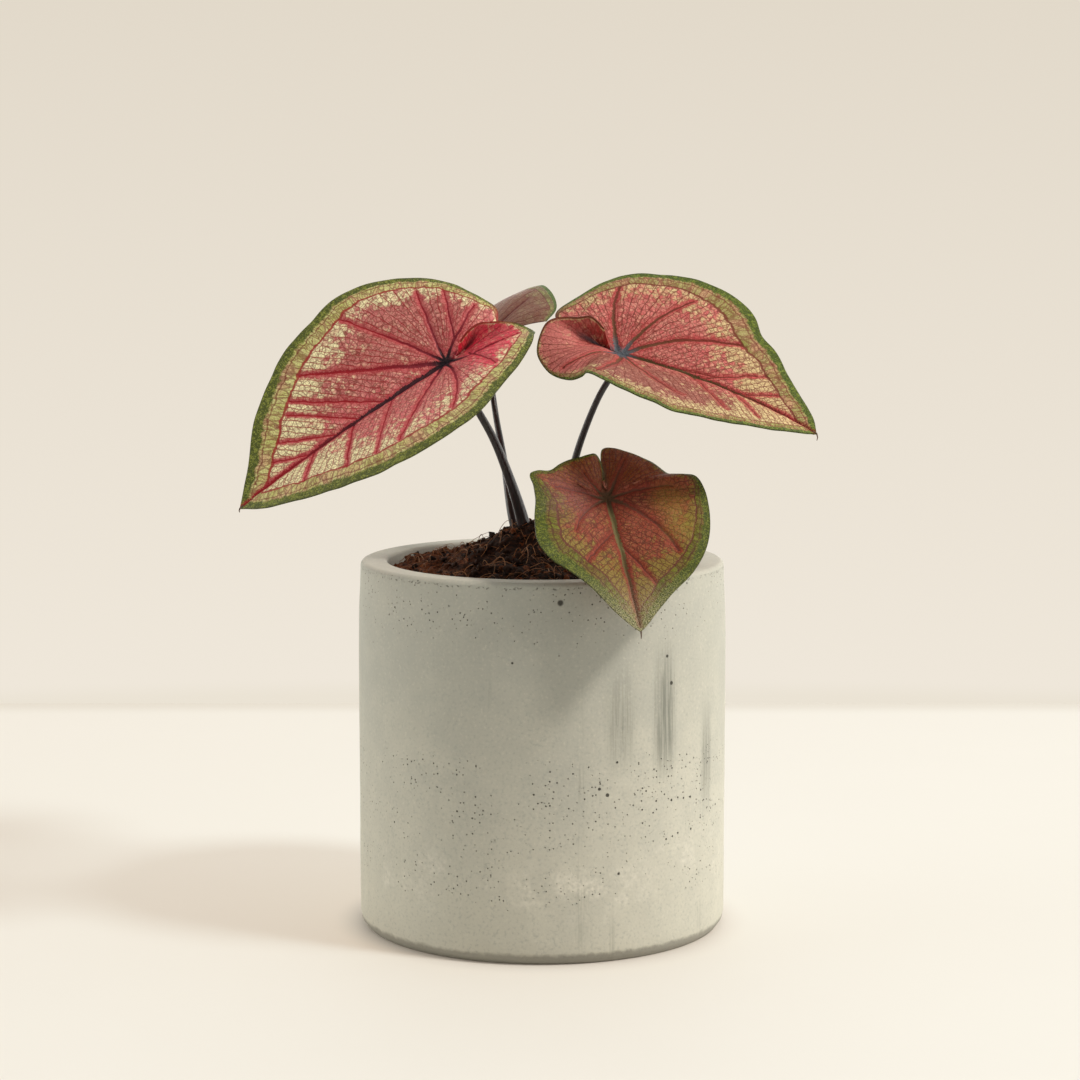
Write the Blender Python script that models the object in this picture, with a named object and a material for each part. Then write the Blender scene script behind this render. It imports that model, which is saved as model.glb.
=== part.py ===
"""A young caladium in a cast concrete pot.

The origin is the centre of the pot's underside, +Z is up and -Y is the side that faces the viewer.
Four arrow-shaped blades stand on stalks that grow from one tuber, buried in a mound of dark coir.
"""

import math
import random

import bmesh
import bpy
import numpy as np

MM = 0.001
GAP = 0.3

# Pot, in millimetres
POT_RADIUS = 60.0
POT_HEIGHT = 120.0
POT_SHOULDER = 95.0
LIP_RADIUS = 59.2
LIP_ROUND = 1.6
BORE_RADIUS = 50.5
BORE_ROUND = 1.0
FLOOR_THICK = 10.0
FLOOR_CORNER = 3.0
FOOT_RADIUS = 58.2
FOOT_HEIGHT = 2.3
POT_STEPS = 72

# Soil, in millimetres
SOIL_SEED = 11
SOIL_EDGE = 116.0
SOIL_CROWN = 5.0
MOUND_HEIGHT = 11.0
MOUND_REACH = 17.0
MOUND_CENTRE = (-4.0, 2.0)
SOIL_RINGS = 17
LUMPS = 150
LUMP_REACH = (2.0, 4.5)
LUMP_HEIGHT = (0.6, 2.2)
LUMP_SIGNS = (1.0, 1.0, -0.8)
LUMP_CUTOFF = 6.0
RING_SPREAD = 0.85
FIBRES = 16
FIBRE_RADIUS = 0.45
FIBRE_FROM_CENTRE = (14.0, 38.0)
FIBRE_HALF = (3.5, 6.5)
FIBRE_BEND = 0.08
FIBRE_STEPS = 4
FIBRE_RISE = 0.7
FIBRE_DIP = 2.2

# Tuber, in millimetres: the buried corm, with a flat crown that the stalks stand on
TUBER_TOP = 115.0
TUBER_HEIGHT = 17.0
TUBER_RADIUS = 15.0
TUBER_CROWN = 9.0

# Blades, in millimetres: thickness between the ribs and of the midrib at the stalk, and each rib's
# angle round the stalk with its share of that thickness. A rib loses the taper by the blade's far
# edge, and grows over so many spokes from the notch. The first rings close round the stalk.
BLADE_THICK = 0.7
RIB_THICK = 1.7
RIB_WIDTH = 1.6
RIBS = ((0.0, 1.0), (0.85, 0.6), (-0.85, 0.6), (2.25, 0.8), (-2.25, 0.8))
RIB_TAPER = 0.75
PLAIN_SPOKES = 8.0
SPOKES_PER_HALF = 26
HUB_RADII = (1.2, 2.3)
RINGS_PAST_HUB = (0.15, 0.33, 0.52, 0.71, 0.88, 1.0)
FLAT_SHARE = (0.95, 0.8, 0.5)
SPOKE_TURN = math.radians(0.9)
NOTCH_ANGLE = math.radians(170.0)
LIFT_POWER = 1.3

# Each blade: where its stalk meets it, the compass heading of its midrib, its droop and roll in
# degrees, how far each half folds up, the midrib's arch, and its outline. The outline's stations
# run from the notch behind the stalk to the tip: distance along the midrib, distance out from it
# on the folded half, lift above that half, and how much the blade domes on the way there.
BLADES = {
    "left": {
        "stalk": (-30.0, -14.0, 185.0),
        "heading": -161,
        "droop": 33,
        "roll": -32,
        "fold": 18,
        "length": 81.5,
        "arch": 1.5,
        "left": (
            (-5.8, 2.0, 5.6, -0.4),
            (-8.7, 2.3, 7.5, -1.2),
            (-13.0, 3.0, 8.2, -1.5),
            (-17.5, 4.8, 6.4, -0.5),
            (-22.5, 8.2, 2.8, 0.5),
            (-25.2, 12.6, -0.6, 1.5),
            (-24.0, 18.5, 0.0, 2.0),
            (-17.0, 25.0, 0.0, 2.0),
            (-10.0, 30.3, 0.0, 1.5),
            (-3.0, 34.0, 0.0, 1.5),
            (7.5, 39.7, 0.0, 1.5),
            (18.5, 40.5, 0.0, 1.5),
            (32.0, 38.5, 0.0, 1.5),
            (43.5, 35.0, 0.0, 1.5),
            (60.5, 24.0, 0.0, 1.5),
            (72.0, 14.0, 0.0, 1.5),
            (78.0, 7.0, 0.0, 1.5),
        ),
        "right": (
            (-21.5, 2.5, -1.5, 0.5),
            (-24.0, 6.5, -1.0, 1.5),
            (-22.3, 12.5, 0.0, 2.5),
            (-16.0, 26.0, 0.0, 2.5),
            (-6.5, 35.0, 0.0, 2.0),
            (5.0, 41.0, 0.0, 2.0),
            (16.0, 42.6, 0.0, 2.0),
            (26.0, 40.3, 0.0, 2.0),
            (38.0, 37.2, 0.0, 2.0),
            (48.0, 31.5, 0.0, 1.8),
            (60.3, 22.6, 0.0, 1.5),
            (71.5, 10.0, 0.0, 1.5),
            (78.0, 3.5, 0.0, 1.5),
        ),
    },
    "right": {
        "stalk": (24.5, -14.0, 187.8),
        "heading": -20,
        "droop": 20,
        "roll": 26,
        "fold": 20,
        "length": 69.2,
        "arch": 2.6,
        "left": (
            (-23.0, 2.5, -1.5, 0.5),
            (-26.0, 6.0, -1.0, 1.5),
            (-23.6, 11.5, 0.0, 2.0),
            (-18.3, 22.5, 0.0, 2.0),
            (-12.4, 29.6, 0.0, 2.0),
            (-2.6, 34.8, 0.0, 2.0),
            (10.2, 38.2, 0.0, 2.0),
            (23.5, 37.0, 0.0, 2.0),
            (32.0, 32.9, 0.0, 2.0),
            (37.7, 26.8, 0.0, 2.0),
            (44.4, 23.0, 0.0, 1.8),
            (51.6, 16.5, 0.0, 2.0),
            (58.2, 11.0, 0.0, 2.3),
            (65.5, 5.0, 0.0, 2.5),
        ),
        "right": (
            (-5.6, 2.3, 7.6, -0.5),
            (-7.7, 2.8, 9.1, -1.2),
            (-10.9, 3.0, 10.1, -2.4),
            (-13.9, 4.5, 8.6, -3.4),
            (-17.2, 5.8, 7.6, -1.7),
            (-21.9, 9.8, 4.9, -0.8),
            (-23.0, 12.7, 0.0, 1.0),
            (-21.2, 17.5, -6.5, 2.5),
            (-15.0, 22.0, -9.8, 3.0),
            (-10.5, 24.5, -9.6, 3.0),
            (-5.3, 26.5, -7.6, 2.5),
            (-1.5, 28.0, -4.6, 2.0),
            (0.8, 30.5, -1.2, 1.5),
            (7.0, 33.5, 0.0, 1.5),
            (14.0, 35.3, 0.0, 1.5),
            (25.5, 36.2, 0.0, 1.5),
            (31.6, 37.0, 0.0, 1.5),
            (38.0, 32.9, 0.0, 1.5),
            (48.4, 25.2, 0.0, 2.0),
            (57.0, 16.5, 0.0, 2.3),
            (64.5, 8.0, 0.0, 2.5),
        ),
    },
    "front": {
        "stalk": (20.0, -40.0, 144.5),
        "heading": -73,
        "droop": 48,
        "roll": -2,
        "fold": 12,
        "length": 50.3,
        "arch": 0.6,
        "left": (
            (-18.2, 3.2, 0.0, 0.8),
            (-18.0, 6.8, 0.0, 1.2),
            (-15.5, 10.8, 0.0, 1.5),
            (-11.3, 16.5, 0.0, 1.5),
            (-5.8, 21.5, -0.4, 1.5),
            (-4.6, 24.5, 0.4, 1.5),
            (-2.8, 28.6, 1.2, 1.2),
            (2.5, 30.8, 0.4, 1.0),
            (14.5, 29.9, 0.0, 1.0),
            (23.7, 26.6, 0.0, 1.0),
            (31.8, 20.6, 0.0, 0.8),
            (38.0, 13.0, 0.0, 0.7),
            (43.0, 7.6, 0.0, 0.6),
            (48.3, 2.4, 0.0, 0.6),
        ),
        "right": (
            (-11.4, 2.0, 6.4, 0.4),
            (-10.8, 4.9, 6.5, 0.6),
            (-10.4, 8.7, 5.0, 1.0),
            (-10.0, 12.0, 3.6, 1.2),
            (-8.6, 15.5, 2.5, 1.2),
            (-6.6, 19.0, 1.4, 1.2),
            (-6.4, 23.0, 0.9, 1.0),
            (-4.6, 26.4, 0.4, 1.0),
            (-0.6, 26.0, 0.6, 1.0),
            (5.0, 26.6, 1.0, 1.0),
            (12.5, 28.2, 0.0, 1.0),
            (20.5, 28.9, 0.0, 1.0),
            (26.3, 25.7, 0.0, 0.8),
            (31.3, 18.8, 0.0, 0.6),
            (36.9, 12.6, 0.0, 0.6),
            (43.4, 7.7, 0.0, 0.6),
            (48.6, 2.6, 0.0, 0.6),
        ),
    },
    "back": {
        "stalk": (-20.5, 38.0, 189.0),
        "heading": 160,
        "droop": 12,
        "roll": -25,
        "fold": 15,
        "length": 62.0,
        "arch": 2.5,
        "left": (
            (-20.5, 3.2, 0.0, 1.0),
            (-22.5, 9.0, 0.0, 2.0),
            (-19.5, 17.0, 0.0, 2.0),
            (-12.0, 24.5, 0.0, 2.0),
            (-3.0, 29.5, 0.0, 2.0),
            (8.0, 32.0, 0.0, 2.0),
            (20.0, 31.0, 0.0, 2.0),
            (32.0, 26.5, 0.0, 1.8),
            (43.0, 19.0, 0.0, 2.1),
            (53.0, 9.8, 0.0, 2.3),
            (59.0, 3.6, 0.0, 2.5),
        ),
        "right": (
            (-23.5, 3.2, 0.0, 1.0),
            (-26.2, 8.6, 0.0, 2.0),
            (-24.2, 16.0, 0.0, 2.5),
            (-19.5, 22.5, 0.0, 3.0),
            (-11.0, 27.0, -4.0, 3.5),
            (-2.0, 30.5, -10.0, 4.0),
            (10.0, 32.0, -12.0, 4.0),
            (23.0, 30.5, -10.0, 3.5),
            (34.0, 25.5, -7.0, 2.5),
            (44.0, 18.5, -4.0, 2.4),
            (53.0, 9.8, -1.5, 2.4),
            (59.0, 3.6, 0.0, 2.5),
        ),
    },
}

# Each stalk: points from the tuber's crown up to just under its blade, each with the radius there.
# The last point of each is worked out from its blade.
STALKS = {
    "left": (
        (-4.0, -1.0, 115.3, 2.2),
        (-4.5, -0.8, 124.0, 2.2),
        (-6.3, -1.0, 132.7, 2.05),
        (-10.4, -3.7, 146.1, 1.65),
        (-15.5, -6.6, 159.3, 1.35),
        (-21.0, -9.2, 169.5, 1.25),
    ),
    "back": (
        (-5.0, 5.0, 115.3, 1.7),
        (-7.0, 5.2, 124.0, 1.65),
        (-9.6, 6.2, 132.0, 1.5),
        (-12.6, 13.0, 151.0, 1.2),
        (-15.1, 20.0, 163.7, 1.05),
        (-17.0, 28.0, 175.0, 1.0),
    ),
    "right": (
        (2.5, 4.0, 115.3, 1.8),
        (3.2, 3.9, 124.0, 1.75),
        (4.6, 3.0, 132.0, 1.6),
        (8.8, -1.1, 145.8, 1.3),
        (12.6, -5.0, 159.2, 1.15),
        (18.2, -9.4, 173.5, 1.05),
    ),
    "front": (
        (3.0, -4.5, 115.3, 1.5),
        (4.5, -6.0, 124.0, 1.45),
        (7.0, -9.0, 132.0, 1.3),
        (11.5, -17.0, 140.0, 1.1),
        (15.5, -27.0, 143.0, 1.0),
    ),
}
STALK_STEP = 3.0
STALK_TOP_GAP = 0.5
STALK_RESOLUTION = 3
FIBRE_RESOLUTION = 0

# Base colour, roughness and metallic value of each finish
FINISHES = {
    "concrete": ((0.46, 0.45, 0.41), 0.85, 0.0),
    "coir": ((0.045, 0.022, 0.012), 0.95, 0.0),
    "corm": ((0.20, 0.11, 0.06), 0.9, 0.0),
    "stalk": ((0.022, 0.018, 0.020), 0.4, 0.0),
    "pink blade": ((0.45, 0.10, 0.11), 0.45, 0.0),
    "red blade": ((0.28, 0.07, 0.04), 0.45, 0.0),
}


def clear_scene():
    for obj in list(bpy.data.objects):
        bpy.data.objects.remove(obj)


def finish(name):
    """The named material, made once."""
    if name in bpy.data.materials:
        return bpy.data.materials[name]
    colour, roughness, metallic = FINISHES[name]
    material = bpy.data.materials.new(name)
    material.use_nodes = True
    shader = material.node_tree.nodes["Principled BSDF"]
    shader.inputs["Base Color"].default_value = (*colour, 1.0)
    shader.inputs["Roughness"].default_value = roughness
    shader.inputs["Metallic"].default_value = metallic
    return material


def add_object(name, data, finish_name):
    """A new object that holds this mesh or curve, in the scene and in its finish."""
    obj = bpy.data.objects.new(name, data)
    data.materials.append(finish(finish_name))
    bpy.context.scene.collection.objects.link(obj)
    return obj


def mesh_object(name, bm, finish_name, sharp_degrees):
    """The bmesh as a smooth-shaded object, sharp where faces meet at more than this angle."""
    bmesh.ops.recalc_face_normals(bm, faces=bm.faces)
    mesh = bpy.data.meshes.new(name)
    bm.to_mesh(mesh)
    bm.free()
    mesh.shade_smooth()
    mesh.set_sharp_from_angle(angle=math.radians(sharp_degrees))
    return add_object(name, mesh, finish_name)


def arc(centre, radius, start, end, steps):
    """Points of an arc in the (radius, height) plane, from one angle in degrees to another."""
    angles = np.radians(np.linspace(start, end, steps + 1))
    return [(centre[0] + radius * math.cos(a), centre[1] + radius * math.sin(a)) for a in angles]


def turned(name, profile, steps, finish_name):
    """The solid of a profile of (radius, height) points, turned about Z. Its ends lie on the axis."""
    bm = bmesh.new()
    points = [bm.verts.new((radius * MM, 0.0, height * MM)) for radius, height in profile]
    edges = [bm.edges.new(pair) for pair in zip(points[:-1], points[1:])]
    bmesh.ops.spin(
        bm,
        geom=points + edges,
        cent=(0.0, 0.0, 0.0),
        axis=(0.0, 0.0, 1.0),
        angle=2.0 * math.pi,
        steps=steps,
        use_merge=True,
    )
    bmesh.ops.remove_doubles(bm, verts=bm.verts, dist=0.01 * MM)
    return mesh_object(name, bm, finish_name, 40.0)


def pot():
    """A straight wall with a soft lip, a flat floor and a worn chamfer at the foot."""
    lip_centre = (LIP_RADIUS - LIP_ROUND, POT_HEIGHT - LIP_ROUND)
    bore_centre = (BORE_RADIUS + BORE_ROUND, POT_HEIGHT - BORE_ROUND)
    floor_centre = (BORE_RADIUS - FLOOR_CORNER, FLOOR_THICK + FLOOR_CORNER)
    profile = [(0.0, 0.0), (FOOT_RADIUS - 0.6, 0.0), (FOOT_RADIUS, 0.4)]
    profile += [(POT_RADIUS - 0.4, FOOT_HEIGHT), (POT_RADIUS, FOOT_HEIGHT + 2.0)]
    profile += [(POT_RADIUS, height) for height in (30.0, 55.0, 78.0, POT_SHOULDER)]
    profile += [(POT_RADIUS - 0.2, 104.0), (LIP_RADIUS + 0.2, 112.0)]
    profile += arc(lip_centre, LIP_ROUND, 0.0, 90.0, 3)
    profile += arc(bore_centre, BORE_ROUND, 90.0, 180.0, 3)
    profile += [(BORE_RADIUS, height) for height in (95.0, 60.0, 30.0)]
    profile += arc(floor_centre, FLOOR_CORNER, 0.0, -90.0, 3)
    profile += [(0.0, FLOOR_THICK)]
    return turned("pot", profile, POT_STEPS, "concrete")


def tuber_profile(grow):
    """The tuber's outline, larger all round by this much: a flat crown over a rounded underside."""
    half = TUBER_HEIGHT / 2.0
    middle = TUBER_TOP - half
    rows = [(0.0, TUBER_TOP - TUBER_HEIGHT - grow)]
    for degrees in (-65.0, -40.0, -15.0, 10.0, 32.0):
        turn = math.radians(degrees)
        rows.append(((TUBER_RADIUS + grow) * math.cos(turn), middle + (half + grow) * math.sin(turn)))
    rows += [(TUBER_CROWN + grow, TUBER_TOP + grow), (0.0, TUBER_TOP + grow)]
    return rows


def smooth_path(stations, step):
    """Points a step apart on a smooth curve through the stations, whose last columns ride along."""
    stations = np.array(stations, float)
    chord = np.sqrt(np.linalg.norm(np.diff(stations[:, :3], axis=0), axis=1))
    knots = np.concatenate([[0.0], np.cumsum(chord)])
    ends = [2 * stations[0] - stations[1], 2 * stations[-1] - stations[-2]]
    padded = np.vstack([ends[0], stations, ends[1]])
    padded_knots = np.concatenate([[-knots[1]], knots, [2 * knots[-1] - knots[-2]]])
    fine = []
    for i in range(len(stations) - 1):
        p0, p1, p2, p3 = padded[i : i + 4]
        t0, t1, t2, t3 = padded_knots[i : i + 4]
        out = (p1 - p0) / (t1 - t0) - (p2 - p0) / (t2 - t0) + (p2 - p1) / (t2 - t1)
        into = (p2 - p1) / (t2 - t1) - (p3 - p1) / (t3 - t1) + (p3 - p2) / (t3 - t2)
        for u in np.linspace(0.0, 1.0, 12, endpoint=False):
            blend = (2 * u**3 - 3 * u**2 + 1) * p1 + (-2 * u**3 + 3 * u**2) * p2
            slope = (u**3 - 2 * u**2 + u) * out + (u**3 - u**2) * into
            fine.append(blend + slope * (t2 - t1))
    fine.append(stations[-1])
    fine = np.array(fine)
    along = np.concatenate([[0.0], np.cumsum(np.linalg.norm(np.diff(fine[:, :3], axis=0), axis=1))])
    wanted = np.linspace(0.0, along[-1], max(2, round(along[-1] / step)) + 1)
    return np.stack([np.interp(wanted, along, column) for column in fine.T], axis=1)


def blade_axes(blade):
    """Unit vectors along the midrib to the tip, across to the blade's left, and up off its face."""
    heading = math.radians(blade["heading"])
    droop = math.radians(blade["droop"])
    roll = math.radians(blade["roll"])
    ahead = np.array([math.cos(heading), math.sin(heading), 0.0])
    level = np.array([-math.sin(heading), math.cos(heading), 0.0])
    along = ahead * math.cos(droop) - np.array([0.0, 0.0, math.sin(droop)])
    upright = np.cross(along, level)
    across = level * math.cos(roll) + upright * math.sin(roll)
    normal = upright * math.cos(roll) - level * math.sin(roll)
    return along, across, normal


def margin(blade):
    """The blade's edge from the notch round the tip and back: along, across, rise, lift and dome.

    The rise comes from the fold and grows straight out from the midrib. The lift starts flat.
    """
    fold = math.radians(blade["fold"])
    tip = (blade["length"], 0.0, 0.0, blade["arch"])
    halves = []
    for side, sign in (("left", 1.0), ("right", -1.0)):
        path = smooth_path([*blade[side], tip], 1.0)
        even = np.linspace(0.0, len(path) - 1.0, SPOKES_PER_HALF + 1)
        along, out, lift, dome = [np.interp(even, np.arange(len(path)), column) for column in path.T]
        across = sign * out * math.cos(fold)
        halves.append(np.stack([along, across, out * math.sin(fold), lift, dome], axis=1))
    return np.vstack([halves[0], halves[1][-2::-1]])


def from_notch(spokes):
    """How many spokes each spoke is from the notch, whichever way is shorter."""
    count = np.arange(spokes)
    return np.minimum(count, count[::-1])


def hub_directions(edge):
    """Unit vectors on the fold that each spoke leaves the stalk by, kept in order round it."""
    angles = np.abs(np.arctan2(edge[:, 1], edge[:, 0]))
    tip = SPOKES_PER_HALF
    for order in (range(tip - 1, -1, -1), range(tip + 1, len(edge))):
        before = tip
        for i in order:
            angles[i] = max(angles[i], angles[before] + SPOKE_TURN)
            before = i
    angles = np.minimum(angles, NOTCH_ANGLE - SPOKE_TURN * from_notch(len(edge)))
    side = np.sign(tip - np.arange(len(edge)))
    rise = np.abs(edge[:, 2]) / np.maximum(np.linalg.norm(edge[:, :2], axis=1), 1.0)
    return np.stack([np.cos(angles), side * np.sin(angles), rise], axis=1)


def blade_grid(blade):
    """Points of the upper face in millimetres, by spoke and ring, and the unit normal at each."""
    edge = margin(blade)
    rim = edge[:, :3] + np.outer(edge[:, 3], (0.0, 0.0, 1.0))
    facing = np.cross(np.gradient(rim, axis=0), rim)
    facing /= np.linalg.norm(facing, axis=1, keepdims=True)
    directions = hub_directions(edge)
    rows = [directions * radius for radius in HUB_RADII]
    for share in RINGS_PAST_HUB:
        row = rows[len(HUB_RADII) - 1] * (1.0 - share) + edge[:, :3] * share
        row[:, 2] += edge[:, 3] * share**LIFT_POWER
        rows.append(row + facing * (edge[:, 4] * 4.0 * share * (1.0 - share))[:, None])
    local = np.stack(rows, axis=1)
    normals = np.cross(np.gradient(local, axis=0), np.gradient(local, axis=1))
    normals /= np.linalg.norm(normals, axis=2, keepdims=True)
    for ring, share in enumerate(FLAT_SHARE):
        normals[:, ring] = (1.0 - share) * normals[:, ring] + (0.0, 0.0, share)
    normals /= np.linalg.norm(normals, axis=2, keepdims=True)
    return local, normals


def thicknesses(local):
    """The blade's thickness by spoke and ring: thin, with a midrib and a rib into each lobe.

    No rib runs where the edge rises in a collar beside the notch.
    """
    reach = np.linalg.norm(local[:, :, :2], axis=2)
    angle = np.arctan2(local[:, :, 1], local[:, :, 0])
    rib = np.zeros_like(reach)
    for rib_angle, strength in RIBS:
        away = reach * np.abs(angle - rib_angle)
        rib = np.maximum(rib, strength * np.exp(-((away / RIB_WIDTH) ** 2)))
    rib *= np.clip(from_notch(len(local)) / PLAIN_SPOKES, 0.0, 1.0)[:, None]
    rib *= 1.0 - RIB_TAPER * reach / reach.max()
    return BLADE_THICK + (RIB_THICK - BLADE_THICK) * rib


def blade(side, finish_name):
    """One leaf blade: its upper face, an underside ribbed below it, and a rim between them."""
    spec = BLADES[side]
    axes = np.array(blade_axes(spec))
    stalk = np.array(spec["stalk"])
    local, normals = blade_grid(spec)
    under = local - normals * thicknesses(local)[:, :, None]
    top, bottom = local @ axes + stalk, under @ axes + stalk
    bm = bmesh.new()
    upper = [[bm.verts.new(point * MM) for point in spoke] for spoke in top]
    lower = [[bm.verts.new(point * MM) for point in spoke] for spoke in bottom]
    hub = bm.verts.new(stalk * MM)
    heel = bm.verts.new((stalk - axes[2] * RIB_THICK) * MM)
    spokes = len(upper)
    last = len(upper[0]) - 1
    notch = len(HUB_RADII) - 1
    for i in range(spokes):
        j = (i + 1) % spokes
        bm.faces.new((hub, upper[i][0], upper[j][0]))
        bm.faces.new((heel, lower[j][0], lower[i][0]))
        for ring in range(last if j else notch):
            corners = ((i, ring), (i, ring + 1), (j, ring + 1), (j, ring))
            for chosen in ((0, 1, 2), (0, 2, 3)):
                triangle = [corners[k] for k in chosen]
                bm.faces.new([upper[p][q] for p, q in triangle])
                bm.faces.new([lower[p][q] for p, q in reversed(triangle)])
        if j:
            bm.faces.new((upper[i][last], lower[i][last], lower[j][last], upper[j][last]))
    for ring in range(notch, last):
        bm.faces.new((upper[0][ring], lower[0][ring], lower[0][ring + 1], upper[0][ring + 1]))
        bm.faces.new((upper[-1][ring], upper[-1][ring + 1], lower[-1][ring + 1], lower[-1][ring]))
    bm.faces.new((upper[0][notch], upper[-1][notch], lower[-1][notch], lower[0][notch]))
    return mesh_object("leaf_" + side, bm, finish_name, 60.0)


def stalk_path(side):
    """The stalk's stations, with its top brought up along the blade's normal to just under it."""
    spec = BLADES[side]
    normal = blade_axes(spec)[2]
    radius = STALKS[side][-1][3]
    rows = [list(row) for row in STALKS[side]]
    for below in (5.0, RIB_THICK + STALK_TOP_GAP):
        rows.append([*(np.array(spec["stalk"]) - normal * below), radius])
    return smooth_path(rows, STALK_STEP)


def tube(name, path, grow, resolution, finish_name):
    """A round tube along the path, with filled ends, whose radius is the path's fourth column."""
    data = bpy.data.curves.new(name, "CURVE")
    data.dimensions = "3D"
    data.bevel_depth = MM
    data.bevel_resolution = resolution
    data.use_fill_caps = True
    spline = data.splines.new("POLY")
    spline.points.add(len(path) - 1)
    for point, (x, y, z, radius) in zip(spline.points, path):
        point.co = (x * MM, y * MM, z * MM, 1.0)
        point.radius = radius + grow
    return add_object(name, data, finish_name)


def as_mesh(obj):
    """The same object as a closed mesh, for a Boolean. Its caps are joined to its sides."""
    mesh = bpy.data.meshes.new_from_object(obj)
    name = obj.name
    bpy.data.objects.remove(obj)
    bm = bmesh.new()
    bm.from_mesh(mesh)
    bmesh.ops.remove_doubles(bm, verts=bm.verts, dist=0.01 * MM)
    return mesh_object(name, bm, "coir", 60.0)


def soil_height(x, y, lumps):
    """The mound's height over the pot's underside at a place, with its lumps."""
    radius = math.hypot(x, y)
    from_mound = math.hypot(x - MOUND_CENTRE[0], y - MOUND_CENTRE[1])
    height = SOIL_EDGE + SOIL_CROWN * (1.0 - (radius / BORE_RADIUS) ** 2)
    height += MOUND_HEIGHT * math.exp(-((from_mound / MOUND_REACH) ** 2))
    for lump_x, lump_y, reach, lump_height in lumps:
        away = ((x - lump_x) ** 2 + (y - lump_y) ** 2) / reach**2
        if away < LUMP_CUTOFF:
            height += lump_height * math.exp(-away)
    return height


def soil_lumps(draw):
    """Lumps scattered evenly over the surface, each with its reach and height. Some are hollows."""
    lumps = []
    for _ in range(LUMPS):
        turn = draw.uniform(0.0, 2.0 * math.pi)
        radius = BORE_RADIUS * math.sqrt(draw.random())
        height = draw.uniform(*LUMP_HEIGHT) * draw.choice(LUMP_SIGNS)
        reach = draw.uniform(*LUMP_REACH)
        lumps.append((radius * math.cos(turn), radius * math.sin(turn), reach, height))
    return lumps


def soil_body(lumps):
    """The coir that fills the pot, with a lumpy mound on top. Its wall runs close to the bore."""
    outer = BORE_RADIUS - GAP
    corner = FLOOR_CORNER + 2.0 * GAP
    bm = bmesh.new()
    centre = bm.verts.new((0.0, 0.0, soil_height(0.0, 0.0, lumps) * MM))
    rings = [(outer * (ring / SOIL_RINGS) ** RING_SPREAD, None) for ring in range(1, SOIL_RINGS + 1)]
    rings += [(outer, FLOOR_THICK + corner), (outer - corner, FLOOR_THICK + GAP)]
    rows = []
    for radius, height in rings:
        row = []
        for step in range(POT_STEPS):
            turn = 2.0 * math.pi * step / POT_STEPS
            x, y = radius * math.cos(turn), radius * math.sin(turn)
            z = soil_height(x, y, lumps) if height is None else height
            row.append(bm.verts.new((x * MM, y * MM, z * MM)))
        rows.append(row)
    for step in range(POT_STEPS):
        after = (step + 1) % POT_STEPS
        bm.faces.new((centre, rows[0][step], rows[0][after]))
        for upper, lower in zip(rows[:-1], rows[1:]):
            bm.faces.new((upper[step], lower[step], lower[after], upper[after]))
    bm.faces.new(rows[-1])
    bmesh.ops.triangulate(bm, faces=[face for face in bm.faces if len(face.verts) == 4])
    return mesh_object("soil", bm, "coir", 80.0)


def soil_fibres(draw, lumps):
    """Loose strands of coir that lie over the lumps, each with its ends pushed into the soil."""
    fibres = []
    while len(fibres) < FIBRES:
        turn = draw.uniform(0.0, 2.0 * math.pi)
        radius = draw.uniform(*FIBRE_FROM_CENTRE)
        way = draw.uniform(0.0, math.pi)
        bend = draw.uniform(-FIBRE_BEND, FIBRE_BEND)
        half = draw.uniform(*FIBRE_HALF)
        path = []
        for step in range(-FIBRE_STEPS, FIBRE_STEPS + 1):
            share = step / FIBRE_STEPS
            facing = way + bend * step
            x = radius * math.cos(turn) + math.cos(facing) * half * share
            y = radius * math.sin(turn) + math.sin(facing) * half * share
            rise = FIBRE_RISE - FIBRE_DIP * abs(share) ** 3
            path.append((x, y, soil_height(x, y, lumps) + rise, FIBRE_RADIUS))
        fibres.append(as_mesh(tube(f"fibre_{len(fibres)}", path, 0.0, FIBRE_RESOLUTION, "coir")))
    return fibres


def combine(target, others, operation):
    """Joins or cuts all of the others in one Boolean, applies it and removes them."""
    group = bpy.data.collections.new("combine")
    bpy.context.scene.collection.children.link(group)
    for other in others:
        bpy.context.scene.collection.objects.unlink(other)
        group.objects.link(other)
    modifier = target.modifiers.new(operation.lower(), "BOOLEAN")
    modifier.operation = operation
    modifier.operand_type = "COLLECTION"
    modifier.collection = group
    graph = bpy.context.evaluated_depsgraph_get()
    result = bpy.data.meshes.new_from_object(target.evaluated_get(graph))
    target.modifiers.clear()
    target.data = result
    for other in others:
        bpy.data.objects.remove(other)
    bpy.data.collections.remove(group)


def soil():
    """The filled coir with its strands joined on, then the room for the tuber and the stalks cut out."""
    draw = random.Random(SOIL_SEED)
    lumps = soil_lumps(draw)
    body = soil_body(lumps)
    combine(body, soil_fibres(draw, lumps), "UNION")
    cutters = [turned("tuber_room", tuber_profile(GAP), 24, "coir")]
    for side in STALKS:
        path = stalk_path(side)
        path[0, 2] -= 1.0
        cutters.append(as_mesh(tube("room_" + side, path, GAP, STALK_RESOLUTION, "coir")))
    combine(body, cutters, "DIFFERENCE")
    return body


clear_scene()
pot()
soil()
turned("tuber", tuber_profile(0.0), 24, "corm")
for side in STALKS:
    tube("petiole_" + side, stalk_path(side), 0.0, STALK_RESOLUTION, "stalk")
    blade(side, "red blade" if side == "front" else "pink blade")
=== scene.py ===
# %% [markdown]
# # A young caladium in a concrete pot
#
# The solid model is the frame that everything hangs on: a pot, its filling of coir, a buried tuber,
# four leaf stalks and four blades. This lesson gives them their looks. It models finer leaves, stalks
# and coir over the plain solids, and builds every finish from nodes, with no pictures.
# Lengths are written in millimetres and turned into metres where a mesh is made.

# %% Load the frame
import math
import random
from types import SimpleNamespace

import bpy
import numpy as np
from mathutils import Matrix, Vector, noise


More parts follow.
